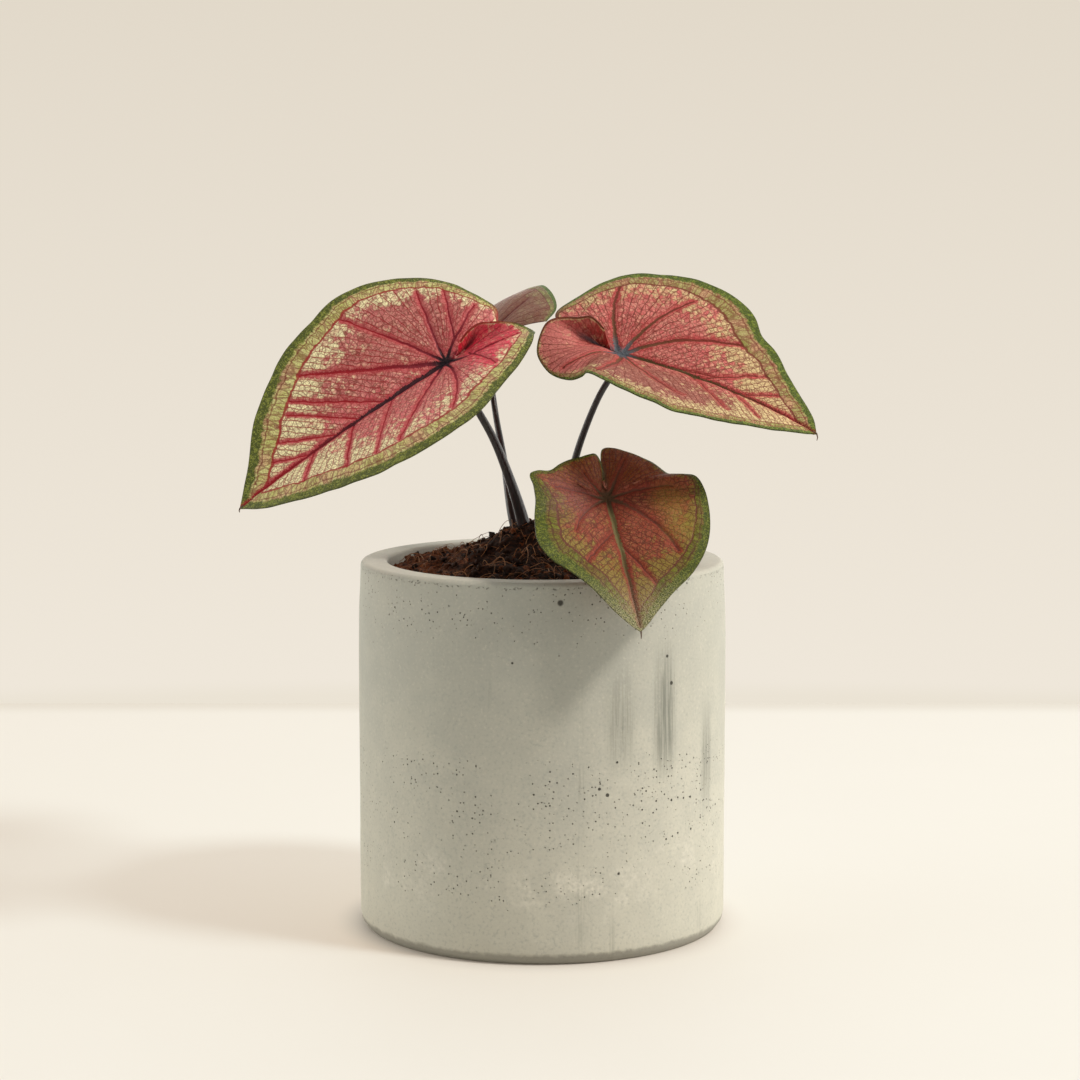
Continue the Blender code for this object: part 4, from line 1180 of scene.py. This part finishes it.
def add_blade(side):
    """One blade: a grid drawn into the surface, closed at the hub and given its thickness."""
    local, flat, turned = blade_surface(side)
    along, depth, inward = edge_band(local, side)
    collar = np.clip((np.abs(turned) - COLLAR_FROM) / COLLAR_SOFT, 0.0, 1.0)
    collar = np.broadcast_to(collar[:, None], inward.shape) * (side in COLLARED)
    normals = face_normals(local)
    local = local + normals * relief(side, flat, inward)[..., None]
    world_points = (local @ blade_axes(BLADES[side]) + np.array(BLADES[side]["stalk"])) * MM
    spokes, rings = local.shape[:2]
    grid = {"x_subdivisions": rings - 1, "y_subdivisions": spokes - 1, "size": 1.0}
    leaf = added("blade_" + side, bpy.ops.mesh.primitive_grid_add, **grid)
    mesh = leaf.data
    mesh.vertices.foreach_set("co", world_points.reshape(-1))
    corners = np.zeros(len(mesh.loops), int)
    mesh.loops.foreach_get("vertex_index", corners)
    while mesh.uv_layers:
        mesh.uv_layers.remove(mesh.uv_layers[0])
    maps = {
        "plane": (flat[..., 0], flat[..., 1], MAP_UNIT),
        "band": (along, depth, MAP_UNIT),
        "zone": (inward, collar, ZONE_UNIT),
    }
    for name, (first, second, unit) in maps.items():
        layer = mesh.uv_layers.new(name=name)
        values = np.stack([first.reshape(-1), second.reshape(-1)], axis=1)[corners] / unit
        layer.data.foreach_set("uv", values.reshape(-1))
    rib = np.max([np.exp(-((vein_reach(flat, v) / RIB_REACH) ** 2)) * v[5] for v in VEINS[side]], axis=0)
    hub = np.exp(-((np.linalg.norm(flat, axis=2) / HUB_REACH) ** 2))
    weight = np.clip(BLADE_THICK / HUB_THICK + RIB_MORE * rib + HUB_MORE * hub, 0.0, 1.0).reshape(-1)
    group = leaf.vertex_groups.new(name="thick")
    for index, value in enumerate(weight):
        group.add((index,), float(value), "REPLACE")
    bpy.ops.object.mode_set(mode="EDIT")
    bpy.ops.mesh.select_all(action="SELECT")
    bpy.ops.mesh.remove_doubles(threshold=WELD * MM)
    bpy.ops.object.mode_set(mode="OBJECT")
    up = Vector(blade_axes(BLADES[side])[2])
    if sum(face.normal.dot(up) * face.area for face in mesh.polygons) < 0.0:
        mesh.flip_normals()
    mesh.materials.append(blade_top(side))
    mesh.materials.append(blade_under(side))
    wall = leaf.modifiers.new("wall", "SOLIDIFY")
    wall.thickness = HUB_THICK * MM
    wall.offset = -1.0
    wall.vertex_group = "thick"
    wall.material_offset = 1
    bpy.ops.object.modifier_apply(modifier="wall")
    bpy.ops.object.shade_smooth_by_angle(angle=SMOOTH_UP_TO)
    return leaf


print("a blade's wall is", BLADE_THICK, "mm")

# %% [markdown]
# ## The blade's colours
#
# The colour follows the veins, so the finish works on two maps. One lays the blade flat. The other
# runs along the edge and inwards. Strong veins are drawn from the list above, as distances from
# curved strokes. Fine veins are families of parallel lines, and the mesh between them is a pattern of
# small cells. Each cell draws its own tint, which gives the mosaic of pink and cream.

# %% Palettes
# Each blade's colours from the tissue outwards, and after them: how strong the cream is, the green edge's
# share of the way in to the collecting vein, how much pink the border takes, the fine cream stipple, the
# size of the small cells, the half whose lobe is redder (1 left, -1 right, 0 both), how strongly the
# right half is painted darker as painted shade, and the sheen.
LOOKS = {
    "left": SimpleNamespace(
        base=tone(211, 113, 116), deep=tone(172, 46, 58), pale=tone(220, 158, 144),
        cream=tone(238, 233, 184), net=tone(108, 40, 32), vein=tone(142, 22, 32), rib=tone(54, 16, 26),
        side_rib=tone(112, 24, 38), hub=tone(28, 12, 22), edge=tone(72, 80, 26), fleck=tone(152, 158, 68),
        lime=tone(182, 186, 106), straw=tone(208, 206, 140), shadow=tone(46, 46, 16),
        lobe=tone(226, 64, 92), collar=tone(255, 22, 74), creamy=0.95, edge_width=0.38, blush=0.5,
        stipple=0.08, cell=0.85, lobe_side=1.0, shaded_half=0.45, shine=0.22,
    ),
    "right": SimpleNamespace(
        base=tone(204, 105, 103), deep=tone(166, 50, 52), pale=tone(216, 150, 134),
        cream=tone(214, 202, 146), net=tone(108, 42, 34), vein=tone(112, 48, 38), rib=tone(88, 68, 42),
        side_rib=tone(102, 68, 46), hub=tone(82, 88, 96), edge=tone(68, 82, 26), fleck=tone(132, 146, 56),
        lime=tone(140, 142, 72), straw=tone(172, 164, 108), shadow=tone(42, 44, 16),
        lobe=tone(198, 112, 108), collar=tone(146, 4, 4), creamy=0.80, edge_width=0.36, blush=0.5,
        stipple=0.08, cell=0.85, lobe_side=-1.0, shaded_half=1.0, shine=0.15,
    ),
    "front": SimpleNamespace(
        base=tone(146, 64, 49), deep=tone(124, 44, 32), pale=tone(156, 92, 68), cream=tone(122, 134, 46),
        net=tone(70, 30, 18), vein=tone(92, 44, 34), rib=tone(100, 92, 58), side_rib=tone(104, 62, 46),
        hub=tone(80, 60, 40), edge=tone(60, 70, 16), fleck=tone(126, 134, 44), lime=tone(88, 98, 24),
        straw=tone(116, 118, 36), shadow=tone(34, 40, 8), lobe=tone(122, 56, 14), collar=tone(60, 30, 20),
        creamy=0.56, edge_width=0.50, blush=0.3, stipple=0.36, cell=0.50, lobe_side=0.0, shaded_half=0.0,
        shine=0.18,
    ),
    "back": SimpleNamespace(
        base=tone(130, 88, 74), deep=tone(112, 62, 54), pale=tone(146, 126, 102),
        cream=tone(154, 156, 104), net=tone(94, 54, 40), vein=tone(98, 44, 38), rib=tone(74, 38, 34),
        side_rib=tone(92, 46, 40), hub=tone(44, 28, 28), edge=tone(68, 90, 32), fleck=tone(112, 130, 58),
        lime=tone(114, 126, 62), straw=tone(144, 146, 88), shadow=tone(44, 52, 20), lobe=tone(124, 80, 66),
        collar=tone(110, 54, 50), creamy=0.45, edge_width=0.36, blush=0.5, stipple=0.15, cell=0.75,
        lobe_side=0.0, shaded_half=0.0, shine=0.4,
    ),
}
# Painted shade laid over the right half of a blade, where it turns from the light.
HALF_SHADE_TONE = tone(142, 86, 74)
# The front blade's tip is painted pale, a painted sheen. It also has a mauve patch, which is a painted
# sheen as well, and two olive patches: each with its tone, its place on the flattened blade, its reach and
# its strength.
TIP_SHEEN = tone(176, 166, 136)
SHEEN_AND_SPOTS = (
    (tone(116, 82, 82), (3.0, -15.5, 0.0), 14.0, 0.60),
    (tone(134, 122, 36), (5.0, 19.0, 0.0), 9.0, 0.60),
    (tone(142, 138, 48), (15.0, 20.0, 0.0), 8.0, 0.50),
)
# The maps wander by this much, over features of this size, so that no vein is quite smooth.
WIGGLES = ((1.5, 5.0), (0.45, 1.3))
# Sizes in millimetres: the cells between the side veins, the spacing of fine veins beside them, the cells
# and rungs along the border, and how soft the midrib divides two tones. The fan's spacing is in radians.
# Lengths across the slanting side veins are shorter than along the midrib by the share SLANT.
RUNG_CELL = (1.9, 1.5)
SIDE_SPACING = 2.9
FAN_SPACING = 0.115
EDGE_CELL = 1.7
EDGE_RUNG = 2.1
HALF_SOFT = 3.0
SLANT = 0.72


def vein_stroke(finish, px, py, vein):
    """The distance from one listed vein's edge, in millimetres and negative inside it, as nodes."""
    x0, y0, x1, y1, bow, width0, width1 = vein
    length = math.hypot(x1 - x0, y1 - y0)
    cx, cy = (x1 - x0) / length, (y1 - y0) / length
    share = px * (cx / length) + py * (cy / length) - (x0 * cx + y0 * cy) / length
    side = py * cx - px * cy + (x0 * cy - y0 * cx)
    inside = share.most(0.0).least(1.0)
    if bow:
        side = side - inside * (1.0 - inside) * (4.0 * bow)
    reach = abs(side) + abs(share - inside) * length
    return reach - inside * (width1 - width0) - width0


def nearest(strokes):
    """The smallest of several distances."""
    chosen = strokes[0]
    for stroke in strokes[1:]:
        chosen = chosen.least(stroke)
    return chosen


def repeated(value, period):
    """The distance from the nearest whole multiple of the period."""
    return abs(value.math("WRAP", value, period / 2, -period / 2))


print("palettes for", ", ".join(LOOKS))

# %% Maps of a blade
def blade_maps(leaf):
    """Places on the flat blade, true and wavy, measures along and in from the edge, and the collar."""
    plane = leaf.scaled(leaf.node("UVMap", uv_map="plane"), MAP_UNIT)
    place = plane
    for amount, size in WIGGLES:
        drift = leaf.vector("SUBTRACT", leaf.noise(plane, size, 2.0, out="Color"), (0.5, 0.5, 0.5))
        place = leaf.vector("ADD", place, leaf.scaled(drift, amount))
    along, edge_reach = (part * MAP_UNIT for part in leaf.parts(leaf.node("UVMap", uv_map="band"), 0, 1))
    inward, collar = (part * ZONE_UNIT for part in leaf.parts(leaf.node("UVMap", uv_map="zone"), 0, 1))
    inward = inward + (leaf.noise(plane, 3.6, 2.0) - 0.5) * 0.30
    return plane, place, along, edge_reach, inward, collar


def lot_of(finish, place, size, channel):
    """A random number for each small cell."""
    return finish.node("SeparateColor", {0: finish.cells(place, size, out="Color")}, out=channel)


print("the maps wander on", len(WIGGLES), "scales")

# %% Masks of the upper face
def blade_masks(leaf, side):
    """The distances and patterns that the upper face's colours and its relief are made from."""
    look = LOOKS[side]
    plane, place, along, edge_reach, inward, collar = blade_maps(leaf)
    px, py = leaf.parts(place, 0, 1)
    out = abs(py)
    reach = leaf.vector("LENGTH", place, out=1)

    # Strong veins. The midrib and the first side vein have short dark hairs along them.
    strokes = [vein_stroke(leaf, px, py, vein) for vein in VEINS[side]]
    hairs = leaf.noise(leaf.vector("MULTIPLY", plane, (1.0, 0.25, 1.0)), 0.30, 1.0).fade(0.42, 0.62)
    rib = strokes[0] - hairs * 0.45 * px.fade(1.0, 12.0)
    laterals = nearest([strokes[1] - hairs * 0.35, *strokes[2:]])
    strong = laterals.least(rib)

    # Fine veins: lines beside the side veins ahead of the stalk, and a fan behind it.
    turn = leaf.node("Math", {0: out, 1: px}, operation="ARCTAN2")
    past_fan = turn.fade(0.95, 0.75)
    sides = repeated(px - out * 0.95, SIDE_SPACING) * SLANT
    fine = sides * past_fan + repeated(turn, FAN_SPACING) * reach * (1.0 - past_fan)
    fine_line = fine.fade(0.24, 0.06) * reach.fade(3.0, 10.0)
    fine_line = fine_line * strong.fade(0.2, 1.0) * (1.0 - collar * 0.5)

    # The mesh between them, and a random number for each of its cells.
    slanting = {0: (px + out) / RUNG_CELL[1], 1: (px - out) / RUNG_CELL[0], 2: py.fade(-0.1, 0.1)}
    slanting = leaf.scaled(leaf.node("CombineXYZ", slanting), SLANT)
    rungs = leaf.cells(slanting, 1.0, "DISTANCE_TO_EDGE").fade(0.11, 0.03)
    net = leaf.cells(place, look.cell, "DISTANCE_TO_EDGE").fade(0.15, 0.02)
    lot = lot_of(leaf, slanting, 1.0, 0)
    small_lot = lot_of(leaf, place, look.cell, 1)
    return SimpleNamespace(
        plane=plane, px=px, py=py, out=out, reach=reach, along=along, inward=inward, collar=collar,
        edge_reach=edge_reach, inside=inward.fade(0.97, 1.06), rib=rib, laterals=laterals, strong=strong,
        fine_line=fine_line, rungs=rungs, net=net, lot=lot, small_lot=small_lot,
        patch=leaf.noise(plane, 8.0, 3.0), mottle=leaf.noise(plane, 2.0, 3.0),
        grain=leaf.noise(plane, 0.40, 2.0),
    )


print("strong veins to draw:", sum(len(veins) for veins in VEINS.values()))

# %% Tissue within the collecting vein
def tissue_colour(leaf, look, mask, length):
    """Pink by the hub and the veins, and cream in the cells near the edge and the tip."""
    px, py, patch, mottle, grain = mask.px, mask.py, mask.patch, mask.mottle, mask.grain
    lobes = (px + (mottle - 0.5) * 10.0).fade(0.0, -7.0)
    if look.lobe_side:
        lobes = lobes * (py * look.lobe_side).fade(-HALF_SOFT, HALF_SOFT)
    calm = (1.0 - lobes * 0.45) * (1.0 - mask.collar * 0.5)
    # The right half is painted darker: painted shade where it faces away from the light.
    shaded_half_mask = py.fade(-2.0, -12.0) * look.shaded_half
    pale = (mask.small_lot * 0.4 + mask.lot * 0.3 + mottle * 0.6).fade(0.40, 0.95)
    near_edge = mask.inward.fade(3.0, 1.1) * 0.52
    near_tip = px.fade(0.28 * length, 0.85 * length) * 0.60
    zone = near_edge + near_tip + (patch - 0.5) * 1.1
    zone = zone * mask.strong.fade(0.1, 1.5) * (1.0 - lobes * 0.3)
    soft = (mask.lot - 0.5) * 0.30 + (mask.small_lot - 0.5) * 0.22 + (mottle - 0.5) * 0.9
    creamy = (zone + soft).fade(0.15, 0.68)
    return leaf.layers(
        look.base,
        (look.deep, patch.fade(0.42, 0.66) * 0.5),
        (HALF_SHADE_TONE, shaded_half_mask),
        # The front blade's dark brown lobe tone is partly its own colour and partly painted shade from the
        # blade above it.
        (look.lobe, lobes * 0.9),
        # The collar tone is partly the blade's own deep red and partly painted shade in the hollow where
        # the blade rolls up.
        (look.collar, mask.collar * mask.reach.fade(20.0, 5.0)),
        (look.pale, pale * calm * (0.8 - shaded_half_mask * 0.45)),
        (look.cream, creamy * look.creamy),
        (look.net, grain.fade(0.54, 0.66) * calm * (0.34 - creamy * 0.10)),
        (look.cream, grain.fade(0.46, 0.34) * look.stipple),
        (look.net, mask.net * calm * 0.40),
        (look.net, mask.rungs * calm * 0.66),
        (look.vein, mask.fine_line * 0.80),
        (look.deep, mask.strong.fade(2.0, 0.1) * 0.55),
    )


print("two tones of one blade meet over", 2 * HALF_SOFT, "mm")

# %% The border and its green edge
def border_colour(leaf, look, mask):
    """Lime and cream cells with dark rungs, then the green edge. The rungs are given back as well."""
    inward, patch, mottle, grain = mask.inward, mask.patch, mask.mottle, mask.grain
    cells = leaf.node("CombineXYZ", {0: mask.along / EDGE_CELL, 1: inward * 1.8, 2: 5.0})
    ladder = leaf.cells(cells, 1.0, "DISTANCE_TO_EDGE").fade(0.13, 0.03) * 0.8
    ladder = ladder.most(repeated(mask.along + patch * 9.0 + mottle * 1.2, EDGE_RUNG).fade(0.20, 0.07))
    lot = lot_of(leaf, cells, 1.0, 0)
    second = abs(inward - (look.edge_width + 0.14)).fade(0.045, 0.015)
    ragged = inward + (grain - 0.5) * 0.16 + (mottle - 0.5) * 0.20
    edge = leaf.layers(
        look.edge,
        (look.fleck, (mask.small_lot * 0.25 + grain * 0.8).fade(0.46, 0.68) * 0.62),
        (look.shadow, grain.fade(0.44, 0.32) * 0.5),
        (look.shadow, mask.net * 0.25),
    )
    border = leaf.layers(
        look.straw,
        (look.lime, (lot * 0.5 + mask.small_lot * 0.3 + mottle * 0.5).fade(0.3, 0.9)),
        (look.pale, (patch - 0.5 + lot * 0.3).fade(0.10, 0.34) * look.blush),
        (look.net, grain.fade(0.54, 0.66) * 0.36),
        (look.net, mask.net * 0.34),
        (look.net, ladder * 0.72),
        (look.net, second * 0.70),
        (edge, ragged.fade(look.edge_width + 0.05, look.edge_width - 0.05)),
        (look.shadow, mask.edge_reach.fade(0.30, 0.10) * 0.5),
        (look.vein, mask.collar * 0.85),
    )
    return border, ladder


print("rungs along the border every", EDGE_RUNG, "mm")

# %% The upper face
def blade_top(side):
    """The collecting vein, the side veins, the midrib and the hub, each over the last."""
    look, length = LOOKS[side], BLADES[side]["length"]
    leaf = Finish("blade " + side)
    mask = blade_masks(leaf, side)
    border, ladder = border_colour(leaf, look, mask)
    px, reach, rib, laterals, inside = mask.px, mask.reach, mask.rib, mask.laterals, mask.inside
    collector = abs(mask.inward - 1.0).fade(0.075, 0.03) * mask.edge_reach.fade(1.0, 2.0)
    near_hub = reach.fade(0.42 * length, 0.05 * length)
    # Painted shade: the hub's dark tone fills the notch behind the stalk, where its edges overlap.
    notch_shade = px.fade(-1.0, -4.0) * mask.out.fade(1.9, 0.6) * reach.fade(17.0, 9.0)
    skin = leaf.layers(
        border,
        (tissue_colour(leaf, look, mask, length), inside),
        (look.vein, collector * 0.90),
        (look.vein, laterals.fade(0.12, -0.06) * (inside * 0.8 + 0.2)),
        (look.side_rib, laterals.fade(0.10, -0.10) * near_hub),
        (look.deep, rib.fade(0.8, 0.0) * 0.6),
        (leaf.mix(look.rib, look.vein, px.fade(0.35 * length, 0.85 * length)), rib.fade(0.10, -0.06)),
        (look.hub, reach.fade(8.0, 2.0) * mask.strong.fade(0.25, -0.05)),
        (look.hub, reach.fade(3.2, 1.2) * 0.9),
        (look.hub, notch_shade * 0.8),
    )
    if side == "front":
        # Painted sheen on the tip and in the mauve patch; the olive patches are the blade's own colour.
        skin = leaf.mix(skin, TIP_SHEEN, px.fade(0.55 * length, length) * mask.grain.fade(0.3, 0.7) * 0.75)
        for colour, spot, size, strength in SHEEN_AND_SPOTS:
            near = leaf.vector("DISTANCE", mask.plane, spot, out=1).fade(size, size * 0.2)
            skin = leaf.mix(skin, colour, near * mask.grain.fade(0.35, 0.65) * strength)

    height = mask.strong.fade(-0.3, 0.7) * 0.14 - mask.net * 0.045 - mask.rungs * 0.05
    height = height - mask.fine_line * 0.07 - collector * 0.07 - ladder * (1.0 - inside) * 0.05
    normal = leaf.bump(height + mask.grain * 0.02, 1.0)
    gloss = 0.42 + mask.grain * 0.14
    return leaf.paint(Base_Color=skin, Roughness=gloss, Normal=normal, Specular_IOR_Level=look.shine)


print("patches on the front blade:", len(SHEEN_AND_SPOTS))

# %% The underside
UNDER_GREY = tone(146, 136, 108)


def blade_under(side):
    look = LOOKS[side]
    leaf = Finish("blade underside " + side)
    plane, place, _, _, inward, _ = blade_maps(leaf)
    px, py = leaf.parts(plane, 0, 1)
    veins = nearest([vein_stroke(leaf, px, py, vein) for vein in VEINS[side]])
    net = leaf.cells(place, 1.5 * look.cell, "DISTANCE_TO_EDGE").fade(0.16, 0.03)
    skin = leaf.layers(
        look.base,
        (look.pale, 0.55),
        (UNDER_GREY, leaf.noise(plane, 7.0, 4.0).fade(0.40, 0.70) * 0.5),
        (look.net, net * 0.30),
        (look.lime, inward.fade(1.2, 0.7) * 0.6),
        (look.edge, inward.fade(0.40, 0.20) * 0.8),
        (look.vein, veins.fade(0.5, 0.0) * 0.7),
    )
    normal = leaf.bump(veins.fade(0.8, -0.3) * 0.35 + net * 0.05, 0.9)
    return leaf.paint(Base_Color=skin, Roughness=0.6, Normal=normal, Specular_IOR_Level=0.35)


print("looks for", len(LOOKS), "blades")

# %% All four blades
for side in BLADES:
    leaf = add_blade(side)
    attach(leaf, BODY)
    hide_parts("leaf_" + side)
    print(leaf.name, len(leaf.data.polygons), "faces")

# %% [markdown]
# ## Stalks
#
# A stalk is round, firm and slightly glossy, dark purple with a bloom of green, and thicker where it
# leaves the tuber. A curve with a width at each point draws it. The top is brought up along the
# blade's normal and ends inside the hub, so that no gap shows.

# %% Stalk finish
stalk_skin = Finish("stalk skin")
at = stalk_skin.millimetres()
drawn = stalk_skin.vector("MULTIPLY", at, (1.0, 1.0, 0.18))
flecks = stalk_skin.noise(drawn, 0.7, 4.0)
skin = stalk_skin.layers(
    tone(24, 14, 18),
    (tone(50, 28, 32), flecks.fade(0.45, 0.75)),
    (tone(48, 54, 40), stalk_skin.noise(drawn, 2.4, 2.0).fade(0.52, 0.72) * 0.5),
    (tone(96, 50, 48), stalk_skin.parts(at, 2)[0].fade(133.0, 122.0) * 0.5),
)
stalk_skin.paint(Base_Color=skin, Roughness=0.34, Normal=stalk_skin.bump(flecks, 0.4, 0.3))
print("stalk nodes:", len(stalk_skin.tree.nodes))

# %% Draw the stalks
STALK_STEP = 0.8
FLARE, FLARE_REACH = 0.5, 3.0
# How far under the blade's face the stalk's last two stations lie. The last is inside the hub.
TOP_BELOW = (5.0, 0.5)


def stalk_path(side):
    """The stalk's stations, with its top brought up along the blade's normal into the hub."""
    spec = BLADES[side]
    normal = blade_axes(spec)[2]
    radius = STALKS[side][-1][3]
    rows = [list(row) for row in STALKS[side]]
    for below in TOP_BELOW:
        rows.append([*(np.array(spec["stalk"]) - normal * below), radius])
    return smooth_path(rows, STALK_STEP)


for side in STALKS:
    path = stalk_path(side)
    from_top = np.arange(len(path))[::-1] * STALK_STEP
    path[:, 3] += FLARE * np.exp(-from_top / FLARE_REACH)
    stalk = new_stroke("stalk_" + side, 6)
    add_line(stalk, path)
    stalk.data.materials.append(stalk_skin.material)
    stalk = made_mesh(stalk)
    bpy.ops.object.mode_set(mode="EDIT")
    bpy.ops.mesh.select_all(action="SELECT")
    bpy.ops.mesh.remove_doubles(threshold=0.00001)
    bpy.ops.mesh.normals_make_consistent(inside=False)
    bpy.ops.object.mode_set(mode="OBJECT")
    stalk.data.shade_smooth()
    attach(stalk, BODY)
    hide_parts("petiole_" + side)
    print(stalk.name, len(stalk.data.polygons), "faces")

# %% [markdown]
# ## Tip threads
#
# The midrib of a caladium runs on past the tip as a short drying thread that hangs down. Each is a
# tapering curve from inside the tip, and one object holds all four because they share one finish.

# %% Tip threads
# How far each thread hangs down, in millimetres.
THREADS = {"left": 1.2, "right": 2.2, "front": 2.0, "back": 1.6}
THREAD_RADIUS, THREAD_END = 0.34, 0.10
THREAD_INSIDE = 1.5
THREAD_SHARES = (0.0, 0.3, 0.65, 1.0)

threads = new_stroke("tip_threads", 3)
for side, hang in THREADS.items():
    spec = BLADES[side]
    ahead, _, normal = blade_axes(spec)
    tip = np.array(spec["stalk"]) + ahead * spec["length"] - normal * BLADE_THICK / 2
    down = np.array([0.0, 0.0, -hang])
    path = [tip - ahead * THREAD_INSIDE, tip, tip + down * 0.5 + ahead * 0.35, tip + down + ahead * 0.1]
    widths = [THREAD_RADIUS * (1.0 - share) + THREAD_END * share for share in THREAD_SHARES]
    add_line(threads, [(*point, width) for point, width in zip(path, widths)])
thread_skin = Finish("tip thread")
fleck = thread_skin.noise(thread_skin.millimetres(), 0.5, 2.0)
skin = thread_skin.mix(tone(92, 60, 40), tone(58, 44, 30), fleck)
thread_skin.paint(Base_Color=skin, Roughness=0.7)
threads.data.materials.append(thread_skin.material)
threads = made_mesh(threads)
threads.data.shade_smooth()
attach(threads, BODY)
print("tip threads:", len(THREADS))

# %% Bring the scene up to date
bpy.context.view_layer.update()
